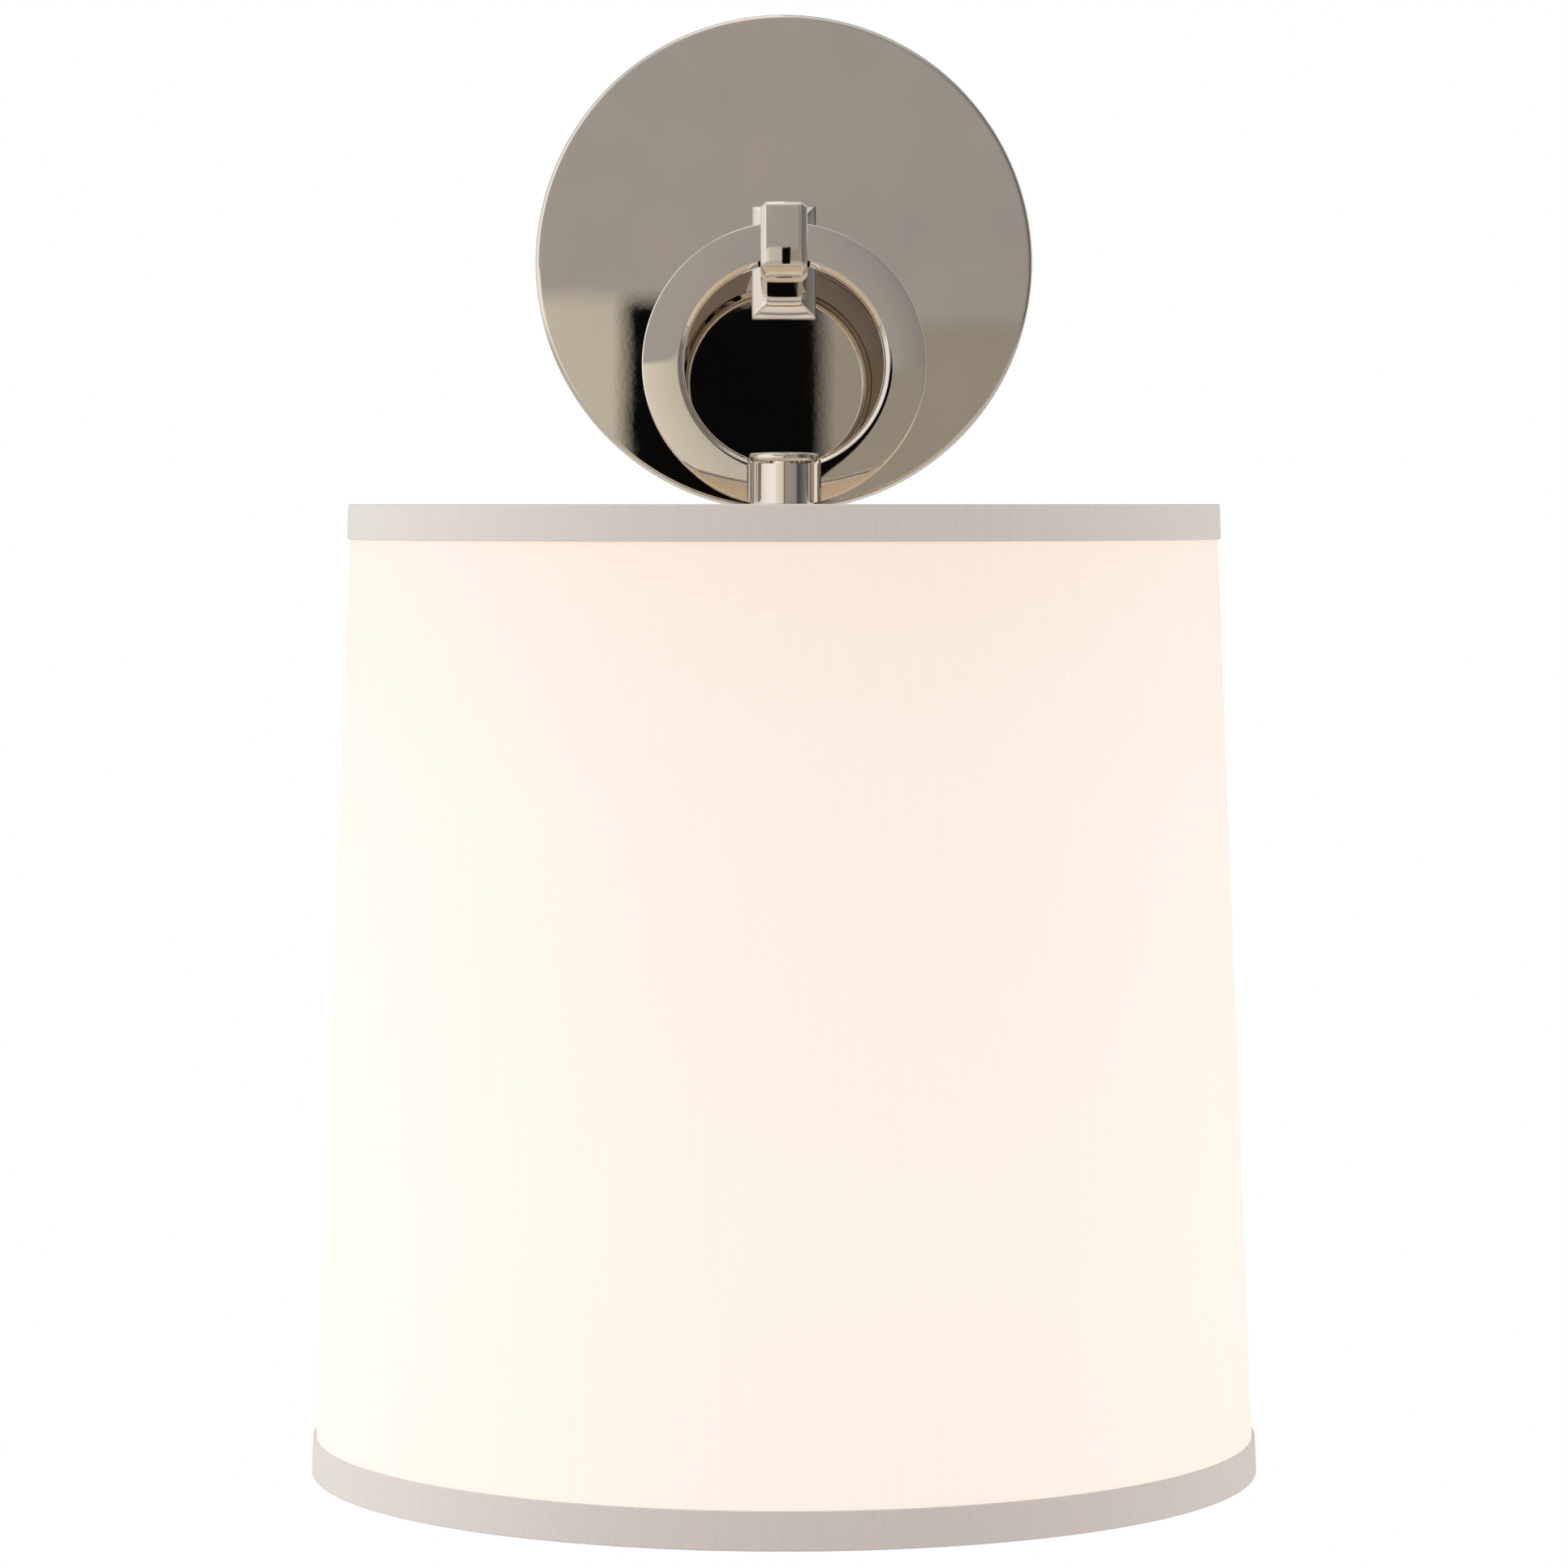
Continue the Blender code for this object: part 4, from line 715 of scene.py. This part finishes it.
def round_tree():
    """One shape repeated at even turns about the upright axis."""
    group, given = tree_of("round", Shape="Object", Count="Int", Material="Material")
    shape = node(group, "GeometryNodeObjectInfo", {"Object": given["Shape"]}).outputs["Geometry"]
    points = node(group, "GeometryNodePoints", {"Count": given["Count"]})
    share = node(group, "ShaderNodeMath", {0: 2 * math.pi, 1: given["Count"]}, operation="DIVIDE")
    number = node(group, "GeometryNodeInputIndex")
    turn = node(group, "ShaderNodeMath", {0: number, 1: share}, operation="MULTIPLY")
    about = node(group, "ShaderNodeCombineXYZ", {"Z": turn})
    placed = {"Points": points, "Instance": shape, "Rotation": about}
    copies = node(group, "GeometryNodeInstanceOnPoints", placed)
    return close_tree(group, copies, given["Material"])


THREAD, ROUND = thread_tree(), round_tree()


def threaded(place, radius, pitch, turns, ridge, material):
    """A spiral ridge on a screw, from its lower end up."""
    sizes = {"Radius": radius, "Pitch": pitch, "Turns": turns, "Ridge": ridge}
    return grown("ridge", THREAD, place, **sizes, Material=material)


def grown(name, group, place=None, **values):
    """The plain mesh that a tree makes from its named inputs."""
    made = link(bpy.data.meshes.new(name), name)
    maker = made.modifiers.new("maker", "NODES")
    maker.node_group = group
    for item in group.interface.items_tree:
        if item.in_out == "INPUT":
            maker[item.identifier] = values[item.name]
    bake(made)
    if place is not None:
        made.data.transform(place)
    return made


def joined(name, *parts, degrees=35):
    """Several meshes made one piece."""
    work = bmesh.new()
    for part in parts:
        work.from_mesh(part.data)
        bpy.data.objects.remove(part)
    mesh = bpy.data.meshes.new(name)
    work.to_mesh(mesh)
    work.free()
    return smooth(link(mesh, name), degrees)


def centre_of(name):
    low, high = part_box(name)
    return (low + high) / 2


def rounded_copy(name, source, body, material):
    """A frame node's own shape with its facets smoothed."""
    work = bmesh.new()
    work.from_mesh(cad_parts[source].data)
    bmesh.ops.remove_doubles(work, verts=work.verts, dist=1e-6)
    bmesh.ops.dissolve_limit(work, angle_limit=math.radians(1), verts=work.verts, edges=work.edges)
    mesh = bpy.data.meshes.new(name)
    work.to_mesh(mesh)
    work.free()
    made = link(mesh, name)
    return put(smooth(made, 60), body, material, source)


# ---------------------------------------------------------------- behind the plate
def strap():
    """Steel strap with bent tabs, two long slots, a centre hole and tapped holes."""
    low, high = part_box("wall_strap")
    thick, width = 1.6 * MM, high.z - low.z
    right, back, front = high.x, high.y, low.y
    bend = 1.2 * MM
    outline = [(-right, front), (-right + thick, front), (-right + thick, back - thick - bend)]
    outline += arc((-right + thick + bend, back - thick - bend), (bend, bend), 180, 90, 5)
    outline += [(-x, y) for x, y in outline[::-1]]
    outline += arc((right - bend, back - bend), (bend, bend), 0, 90, 5)
    outline += arc((-right + bend, back - bend), (bend, bend), 90, 180, 5)
    bar = slab("pressed_strap", outline, width, None)
    bake(soften(bar, 0.3 * MM, 2, 40))
    ground = centre_of("ground_screw")
    shape_with(bar, peg(5.1 * MM, -5 * MM, 5 * MM, facing(), 48))
    shape_with(bar, peg(2.2 * MM, -5 * MM, 5 * MM, facing(ground.x)))
    for side in (-1, 1):
        half, radius = 3.55 * MM, 2.3 * MM
        slot = arc((half, 0), (radius, radius), -90, 90, 12) + arc((-half, 0), (radius, radius), 90, 270, 12)
        shape_with(bar, slab("slot", slot, 10 * MM, facing(side * 38.35 * MM)))
        screw = centre_of("set_screw_right")
        shape_with(bar, peg(1.7 * MM, -4 * MM, 4 * MM, across(side * (right - 1 * MM), screw.y, screw.z)))
    put(bar, WALL, ZINC, "wall_strap")


def set_screws():
    """Headless screws with a rolled thread and a hexagonal socket."""
    for name in ("set_screw_left", "set_screw_right"):
        low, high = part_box(name)
        side = 1 if low.x > 0 else -1
        length, middle = high.x - low.x, centre_of(name)
        body = peg(1.25 * MM, -length / 2, length / 2, None)
        socket = [
            (0.75 * MM * math.cos(math.pi * k / 3), 0.75 * MM * math.sin(math.pi * k / 3)) for k in range(6)
        ]
        shape_with(body, slab("socket", socket, 3 * MM, Matrix.Translation((0, 0, side * length / 2))))
        turns = (length - 0.6 * MM) / (0.7 * MM)
        start = Matrix.Translation((0, 0, 0.3 * MM - length / 2))
        ridge = threaded(start, 1.2 * MM, 0.7 * MM, turns, 0.2 * MM, ZINC)
        screw = joined(f"{name}_threaded", body, ridge)
        screw.data.transform(across(*middle))
        put(screw, WALL, ZINC, name)


def hexagon(name, low, high, bore, place, body, source):
    """A pressed hexagonal nut with its corners turned off and a round bore."""
    flats = 13 * MM
    corner = flats / 2 / math.cos(math.pi / 6)
    points = [(corner * math.cos(math.pi * k / 3), corner * math.sin(math.pi * k / 3)) for k in range(6)]
    nut = slab(name, points, high - low, Matrix.Translation((0, 0, (low + high) / 2)))
    cut = 0.7 * MM
    profile = [(0, high), (flats / 2 - 0.1 * MM, high), (corner + 0.05 * MM, high - cut)]
    profile += [(corner + 0.05 * MM, low + cut), (flats / 2 - 0.1 * MM, low), (0, low)]
    shape_with(nut, turned("round", profile, None, MEDIUM, False), "INTERSECT")
    shape_with(nut, peg(bore, low - 1 * MM, high + 1 * MM, None, 48))
    nut.data.transform(place)
    return put(smooth(nut, 25), body, ZINC, source)


def arm_fixing():
    """The threaded hollow nipple with its toothed washer and nut."""
    low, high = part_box("arm_nipple")
    length, radius = high.y - low.y, NIPPLE_RADIUS - 0.25 * MM
    bevel = 0.4 * MM
    profile = [(2.6 * MM, -low.y), (radius - bevel, -low.y), (radius, -low.y - bevel)]
    profile += [(radius, -high.y + bevel), (radius - bevel, -high.y), (2.6 * MM, -high.y)]
    tube_wall = turned("nipple", profile, facing(), MEDIUM)
    pitch = 0.94 * MM
    start = facing() @ Matrix.Translation((0, 0, 0.5 * MM - high.y))
    turns = (length - 1 * MM) / pitch
    ridge = threaded(start, radius - 0.05 * MM, pitch, turns, 0.27 * MM, ZINC)
    put(joined("threaded_nipple", tube_wall, ridge), WALL, ZINC, "arm_nipple")
    low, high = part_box("lock_washer")
    disc = [(4.2 * MM, -low.y), (6.3 * MM, -low.y), (6.3 * MM, -high.y), (4.2 * MM, -high.y)]
    washer = turned("washer", disc, facing(), MEDIUM)
    tooth = box_between("tooth", (6.0 * MM, -0.8 * MM, -0.3 * MM), (7.4 * MM, 0.8 * MM, 0.3 * MM))
    tooth.data.transform(Matrix.Rotation(math.radians(12), 4, "X"))
    ring_of = grown("teeth", ROUND, facing(0, (low.y + high.y) / 2, 0), Shape=tooth, Count=12, Material=ZINC)
    bpy.data.objects.remove(tooth)
    put(joined("toothed_washer", washer, ring_of), WALL, ZINC, "lock_washer")
    low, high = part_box("nipple_nut")
    hexagon("hexagon_nut", -high.y, -low.y, 4.2 * MM, facing(), WALL, "nipple_nut")


def wire_nuts():
    """Moulded wire connectors: a skirt, a tapered body and ribs for the fingers."""
    for name, material in (("live_wire_nut", BLACK), ("neutral_wire_nut", WHITE)):
        low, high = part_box(name)
        middle, length = centre_of(name), high.z - low.z
        mouth, tip = (high.x - low.x) / 2, 2.9 * MM
        profile = [(0, length), *arc((tip - 0.8 * MM, length - 0.8 * MM), (0.8 * MM, 0.8 * MM), 90, 0, 5)]
        profile += [(mouth - 1.0 * MM, 4.2 * MM), (mouth - 0.15 * MM, 3.2 * MM), (mouth, 2.9 * MM)]
        profile += [(mouth, 0.3 * MM), (mouth - 0.3 * MM, 0), (0, 0)]
        place = upright(middle.x, middle.y, low.z)
        body = turned("body", profile, place, MEDIUM, False)
        blade = [(0, 8.6 * MM), (0.42 * MM, 8.2 * MM), (0.5 * MM, 0.4 * MM), (0, 0)]
        rib = turned("rib", blade, None, 8, False)
        lean = math.atan2(mouth - 1.0 * MM - tip, length - 5 * MM)
        foot = Matrix.Translation((mouth - 1.15 * MM, 0, 4.4 * MM))
        rib.data.transform(foot @ Matrix.Rotation(-lean, 4, "Y"))
        ribs = grown("ribs", ROUND, place, Shape=rib, Count=12, Material=material)
        bpy.data.objects.remove(rib)
        put(joined(f"ribbed_{name}", body, ribs, degrees=50), WALL, material, name)


def bonding_screw():
    """Green bonding screw with a slot; its hexagon-washer head is made round here."""
    low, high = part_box("ground_screw")
    middle = centre_of("ground_screw")
    head, shank, seat = 3.2 * MM, 1.8 * MM, -low.y - 1.7 * MM
    profile = [(0, -low.y), (head - 0.9 * MM, -low.y), (head - 0.6 * MM, -low.y - 0.3 * MM)]
    profile += [(head - 0.5 * MM, seat + 0.5 * MM), (head, seat + 0.4 * MM), (head, seat)]
    profile += [(shank, seat), (shank, -high.y), (0, -high.y)]
    screw = turned("slotted_bonding_screw", profile, facing(middle.x), MEDIUM, False)
    reach, half = Vector((4 * MM, 0, 0)), 0.35 * MM
    slot_low, slot_high = Vector((middle.x, low.y - 1 * MM, -half)), Vector((middle.x, low.y + 0.7 * MM, half))
    slot = box_between("slot", slot_low - reach, slot_high + reach)
    put(smooth(shape_with(screw, slot)), WALL, GREEN, "ground_screw")


# ---------------------------------------------------------------- inside the shade
def hoop(name, source):
    """A welded wire ring."""
    low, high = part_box(source)
    wire = (high.z - low.z) / 2
    section = arc((high.x - wire, (low.z + high.z) / 2), (wire, wire), 0, 345, 23)
    put(turned(name, section, AXIS, 192), HANGING, ENAMEL, source)


def spider():
    """The shade's wire carrier: a hub washer, three cranked spokes, and the top and bottom hoops."""
    low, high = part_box("spider_hub")
    radius, bore, edge = high.x, 4.3 * MM, 0.35 * MM
    profile = [(bore, high.z), (radius - edge, high.z), (radius, high.z - edge), (radius, low.z + edge)]
    profile += [(radius - edge, low.z), (bore, low.z)]
    put(turned("hub_washer", profile, AXIS, MEDIUM), HANGING, ENAMEL, "spider_hub")
    middle, top = (low.z + high.z) / 2, centre_of("top_frame_ring").z
    start, reach = radius + 0.3 * MM, -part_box("spider_spoke_2")[0].x
    run = [(start, middle), (radius + 4 * MM, middle), (radius + 6 * MM, middle + 0.35 * MM)]
    run += [(reach - 8 * MM, top - 0.35 * MM), (reach - 6 * MM, top), (reach - 0.1 * MM, top)]
    spoke = tube("spoke", [(r, 0, z) for r, z in run], 1.1 * MM, 16)
    turn = AXIS @ Matrix.Rotation(math.radians(60), 4, "Z")
    spokes = grown("cranked_spokes", ROUND, turn, Shape=spoke, Count=3, Material=ENAMEL)
    bpy.data.objects.remove(spoke)
    nodes = [f"spider_spoke_{number}" for number in (1, 2, 3)]
    put(smooth(spokes, 50), HANGING, ENAMEL, *nodes)
    hoop("top_hoop", "top_frame_ring")
    hoop("bottom_hoop", "bottom_frame_ring")


def lampholder():
    """Turned nickel cap over a glazed porcelain body, with its nut and brass screw shell."""
    low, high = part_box("socket_cap")
    outer, wall, hole = high.x, 0.7 * MM, 4.3 * MM
    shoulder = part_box("socket_body")[1].z + 1 * MM
    dome = arc((outer - 7 * MM, shoulder), (7 * MM, high.z - shoulder - 0.3 * MM), 90, 0, 14)
    profile = [(hole, high.z), (8.2 * MM, high.z), *[(r, z) for r, z in dome if r > 8.3 * MM]]
    profile += [(outer, low.z + 0.3 * MM), (outer - 0.15 * MM, low.z), (outer - wall, low.z)]
    inside = [(r - wall, z - 0.5 * wall) for r, z in dome[::-1] if r > 9.5 * MM]
    profile += inside + [(8.4 * MM, high.z - wall), (hole, high.z - wall)]
    put(turned("domed_cap", profile, AXIS, 128), HANGING, CAST_NICKEL, "socket_cap")
    nut_low, nut_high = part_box("socket_lock_nut")
    hexagon("lock_nut", nut_low.z, nut_high.z, 4.25 * MM, AXIS, HANGING, "socket_lock_nut")
    low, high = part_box("socket_body")
    shell_low, shell_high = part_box("screw_shell")
    outer, bore, edge = high.x, shell_high.x + 0.3 * MM, 1.1 * MM
    cavity = high.z - 10 * MM
    body = [(0, high.z), *arc((outer - edge, high.z - edge), (edge, edge), 90, 0, 6)]
    body += arc((outer - edge, low.z + edge), (edge, edge), 0, -80, 6)
    body += [(bore + 0.3 * MM, low.z), (bore, low.z + 0.4 * MM), (bore, cavity), (0, cavity)]
    holder = turned("glazed_body", body, AXIS, 128, False)
    for name in ("live_terminal_screw", "neutral_terminal_screw"):
        at = centre_of(name)
        shape_with(holder, peg(1.75 * MM, high.z - 6.4 * MM, high.z + 2 * MM, upright(at.x, SHADE_Y, 0)))
    put(holder, HANGING, PORCELAIN, "socket_body")
    outer, inner = shell_high.x, shell_high.x - 0.5 * MM
    waves = 5
    rows = [shell_low.z + (shell_high.z - shell_low.z) * k / (waves * 8) for k in range(waves * 8 + 1)]
    swell = [0.12 * MM * (1 - math.cos(math.pi * k / 4)) / 2 for k in range(waves * 8 + 1)]
    profile = [(inner + 0.05 * MM + rise, z) for rise, z in zip(swell, rows)]
    profile += [(outer - 0.12 * MM + rise, z) for rise, z in reversed(list(zip(swell, rows)))]
    put(turned("pressed_shell", profile, AXIS, MEDIUM), HANGING, BRASS, "screw_shell")
    for name in ("live_terminal_screw", "neutral_terminal_screw"):
        low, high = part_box(name)
        at = centre_of(name)
        head, seat = (high.x - low.x) / 2, high.z - 1.7 * MM
        profile = [(0, high.z), *arc((head - 0.6 * MM, high.z - 0.6 * MM), (0.6 * MM, 0.6 * MM), 90, 0, 4)]
        profile += [(head, seat), (1.35 * MM, seat), (1.35 * MM, low.z), (0, low.z)]
        screw = turned(f"{name}_slotted", profile, upright(at.x, SHADE_Y, 0), COARSE, False)
        slot_low = (at.x - 0.3 * MM, SHADE_Y - 4 * MM, high.z - 0.7 * MM)
        slot_high = (at.x + 0.3 * MM, SHADE_Y + 4 * MM, high.z + 1 * MM)
        put(smooth(shape_with(screw, box_between("slot", slot_low, slot_high))), HANGING, BRASS, name)


def bulb():
    """Frosted bulb with a rolled-thread brass cap, a black glass insulator and a soldered tip."""
    low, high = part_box("bulb_glass")
    cap_low, cap_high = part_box("bulb_cap")
    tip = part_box("bulb_tip_contact")[1].z
    belly, neck, wall = high.x, 12.2 * MM, 0.8 * MM
    centre = low.z + belly
    steps = 28
    outside = [(neck, high.z)]
    for step in range(steps + 1):
        share = step / steps
        ease = (1 - math.cos(math.pi * share)) / 2
        outside.append((neck + (belly - neck) * ease, cap_low.z + (centre - cap_low.z) * share))
    outside += arc((0, centre), (belly, belly), -4, -90, 22)
    outside[-1] = (0, low.z)
    inside = [(r - wall, z) for r, z in outside[:-1]] + [(0, low.z + wall)]
    inside = [(max(r, 0.4 * MM), z) for r, z in inside[:-1]] + [inside[-1]]
    shell_of = turned("blown_bulb", inside[::-1] + outside, AXIS, 160, False)
    put(shell_of, BULB, GLASS, "bulb_glass")
    outer, root = cap_high.x, cap_high.x - 0.75 * MM
    pitch = 3.6 * MM
    body = [(7 * MM, cap_high.z), (10.3 * MM, cap_high.z), (root - 0.4 * MM, cap_high.z - 1.4 * MM)]
    body += [(root, cap_high.z - 2.4 * MM), (root, cap_low.z + 2.6 * MM)]
    body += [(outer - 0.1 * MM, cap_low.z + 1.6 * MM)]
    body += [(outer, cap_low.z), (outer - 0.5 * MM, cap_low.z), (root - 0.5 * MM, cap_low.z + 2.2 * MM)]
    body += [(root - 0.5 * MM, cap_high.z - 2.6 * MM), (7 * MM, cap_high.z - 0.6 * MM)]
    tin = turned("tin", body, AXIS, 128)
    start = upright(0, SHADE_Y, cap_low.z + 3.4 * MM)
    turns = (cap_high.z - cap_low.z - 7.2 * MM) / pitch
    ridge = threaded(start, outer - 0.9 * MM, pitch, turns, 0.85 * MM, BRASS)
    put(joined("threaded_cap", tin, ridge, degrees=50), BULB, BRASS, "bulb_cap")
    low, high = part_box("bulb_insulator")
    dome = arc((4.8 * MM, high.z - 1.2 * MM), (4.6 * MM, 1.2 * MM), 90, 10, 8)
    face = [(0, high.z), *dome, (9.8 * MM, low.z), (0, low.z)]
    put(turned("glass_insulator", face, AXIS, MEDIUM, False), BULB, BLACK, "bulb_insulator")
    low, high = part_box("bulb_tip_contact")
    dome = arc((2.2 * MM, tip - 0.8 * MM), (2.2 * MM, 0.75 * MM), 85, 5, 8)
    button = [(0, tip), *dome, (4.45 * MM, low.z), (0, low.z)]
    put(turned("soldered_tip", button, AXIS, COARSE, False), BULB, ZINC, "bulb_tip_contact")


def leads():
    """The insulated wires and their sleeves, round and smooth."""
    runs = (
        ("live_lead", WALL, BLACK),
        ("neutral_lead", WALL, WHITE),
        ("ground_lead", WALL, GREEN),
        ("arm_wire_sleeve", WALL, SLEEVE),
        ("ring_lead", HANGING, SLEEVE),
        ("live_pigtail", HANGING, BLACK),
        ("neutral_pigtail", HANGING, WHITE),
        ("centre_contact", HANGING, BRASS),
    )
    for source, body, material in runs:
        rounded_copy(f"{source}_smooth", source, body, material)


# ---------------------------------------------------------------- nodes that keep their shape
def keep_nodes():
    """Frame nodes whose shape is right get their finish."""
    for name, material in (("bulb_mount", GLASS), ("bulb_filament", ZINC)):
        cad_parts[name].material_slots[0].material = material


# ---------------------------------------------------------------- studio
# A black card stands before the lamp and shows only in the nickel: tangents of the angles to its edges
CARD_LEFT, CARD_RIGHT, CARD_TOP = 0.008, 0.027, 0.036
SOFT = 0.002  # how far each edge of the surroundings fades
FLOOR_DROP, FLOOR_RADIUS = 1.6, 4.0
SENSOR, LENS = 36.0, 131.0  # of the camera, in millimetres
CAMERA_AWAY = 1.078  # from the shade's axis


def studio_world():
    """White behind the lamp, and round it a soft studio: grey above, cream below, and a black card."""
    world = bpy.data.worlds.new("studio")
    bpy.context.scene.world = world
    world.use_nodes = True
    tree = world.node_tree
    tree.nodes.clear()
    way = node(tree, "ShaderNodeTexCoord").outputs["Generated"]
    right, back, up = node(tree, "ShaderNodeSeparateXYZ", {"Vector": way}).outputs
    depth = node(tree, "ShaderNodeMath", {0: back, 1: -1.0}, operation="MULTIPLY")
    front = node(tree, "ShaderNodeMath", {0: depth, 1: 0.02}, operation="MAXIMUM")
    side = node(tree, "ShaderNodeMath", {0: right, 1: front}, operation="DIVIDE")
    rise = node(tree, "ShaderNodeMath", {0: up, 1: front}, operation="DIVIDE")

    def band(value, low, high, soft=SOFT):
        """1 between low and high, fading over soft."""
        start = {"Value": value, "From Min": low - soft, "From Max": low + soft}
        end = {"Value": value, "From Min": high + soft, "From Max": high - soft}
        enter, leave = (node(tree, "ShaderNodeMapRange", edge) for edge in (start, end))
        return node(tree, "ShaderNodeMath", {0: enter, 1: leave}, operation="MULTIPLY")

    def window(under, over, *bands):
        """The colour under, with another over it where all the bands are."""
        share = bands[0]
        for other in bands[1:]:
            share = node(tree, "ShaderNodeMath", {0: share, 1: other}, operation="MULTIPLY")
        return node(tree, "ShaderNodeMix", {0: share, 6: under, 7: over}, data_type="RGBA").outputs[2]

    turn = node(tree, "ShaderNodeMath", {0: right, 1: depth}, operation="ARCTAN2")
    round_it = node(tree, "ShaderNodeMapRange", {"Value": turn, "From Min": -math.pi, "From Max": math.pi})
    cards = ((0.0, 0.75), (0.2, 1.0), (0.3, 1.25), (0.38, 1.3), (0.43, 1.2), (0.48, 1.1), (0.495, 0.45))
    cards += ((0.62, 0.38), (0.66, 0.08), (0.76, 0.28), (0.82, 1.0), (1.0, 0.75))
    greys = [(at, grey(tone)) for at, tone in cards]
    ring_of_light = node(tree, "ShaderNodeValToRGB", {"Fac": round_it}, greys)
    height = node(tree, "ShaderNodeMapRange", {"Value": up, "From Min": 0.0, "From Max": 1.0})
    low, middle = (0.50, 0.475, 0.46, 1.0), (0.50, 0.48, 0.47, 1.0)
    sky = ((0.0, low), (0.3, middle), (0.7, grey(0.55)), (0.85, grey(0.95)), (1.0, grey(1.3)))
    upper = node(tree, "ShaderNodeValToRGB", {"Fac": height}, sky)
    bearing = node(tree, "ShaderNodeMapRange", {"Value": side, "From Min": -0.6, "From Max": 0.6})
    falling = ((0.42, grey(1.06)), (0.55, grey(0.96)), (0.64, grey(0.76)))
    lean = node(tree, "ShaderNodeValToRGB", {"Fac": bearing}, falling)
    darker = {0: 1.0, 6: upper, 7: lean}
    upper = node(tree, "ShaderNodeMix", darker, data_type="RGBA", blend_type="MULTIPLY").outputs[2]
    surround = window(ring_of_light, upper, band(right, -0.6, 0.6, 0.1), band(rise, 0.0315, 90.0))
    creams = ((0.1, (1.1, 1.06, 0.97, 1.0)), (0.36, (0.965, 0.925, 0.8, 1.0)), (0.49, (0.74, 0.71, 0.61, 1.0)))
    cream = node(tree, "ShaderNodeValToRGB", {"Fac": bearing}, creams)
    surround = window(surround, cream, band(side, -0.6, 0.016), band(rise, -0.2, 0.0363))
    dim_cream = (0.43, 0.40, 0.335, 1.0)
    surround = window(surround, dim_cream, band(side, 0.018, 0.35), band(rise, -0.2, 0.0315))
    surround = window(surround, (0.66, 0.62, 0.56, 1.0), band(up, -1.2, -0.22, 0.08))
    surround = window(surround, grey(0.004), band(side, -CARD_LEFT, CARD_RIGHT), band(rise, -40.0, CARD_TOP))
    studio = node(tree, "ShaderNodeBackground", {"Color": surround, "Strength": 1.0})
    white = node(tree, "ShaderNodeBackground", {"Color": grey(1.0), "Strength": 1.0})
    seen = node(tree, "ShaderNodeLightPath").outputs["Is Camera Ray"]
    mixed = node(tree, "ShaderNodeMixShader", {0: seen, 1: studio, 2: white})
    node(tree, "ShaderNodeOutputWorld", {"Surface": mixed})


def softbox(name, place, size, power, colour):
    data = bpy.data.lights.new(name, "AREA")
    data.shape = "RECTANGLE"
    data.size, data.size_y = size
    data.energy = power
    data.color = colour
    made = bpy.data.objects.new(name, data)
    made.location = place
    made.rotation_euler = (Vector((0, SHADE_Y, -0.1)) - Vector(place)).to_track_quat("-Z", "Y").to_euler()
    made.visible_glossy = False
    bpy.context.scene.collection.objects.link(made)


def studio():
    studio_world()
    softbox("left softbox", (-1.7, -0.7, 0.3), (1.0, 1.2), 14.5, (0.87, 1.0, 1.14))
    softbox("right softbox", (1.7, -0.6, 0.3), (0.9, 1.2), 18, (0.93, 0.98, 1.06))
    work = bmesh.new()
    bmesh.ops.create_circle(work, cap_ends=True, segments=96, radius=FLOOR_RADIUS)
    floor = clean(work, "floor", Matrix.Translation((0, 0, SHADE_BOTTOM - FLOOR_DROP)))
    pale, tree, shader, place = finish_named("pale floor", roughness=0.8)
    tone = mottled(tree, place, 0.6, 2, (0.3, linear("#F1F0EE")), (0.7, linear("#F5F4F2")))
    connect(tree, shader, {"Base Color": tone})
    floor.data.materials.append(pale)


def camera():
    """Level with the shade's top edge, square to the wall, with the picture moved down to the lamp."""
    data = bpy.data.cameras.new("camera")
    data.sensor_width = SENSOR
    data.lens = LENS
    data.shift_y = -0.17857
    made = bpy.data.objects.new("camera", data)
    made.location = (0.0, SHADE_Y - CAMERA_AWAY, SHADE_TOP)
    made.rotation_euler = (math.pi / 2, 0.0, 0.0)
    bpy.context.scene.collection.objects.link(made)
    bpy.context.scene.camera = made


camera()
studio()
for make in (backplate, arm, ring, stem, shade, strap, set_screws, arm_fixing, wire_nuts, bonding_screw):
    make()
for make in (spider, lampholder, bulb, leads, keep_nodes):
    make()
bpy.context.scene.view_settings.view_transform = "Standard"
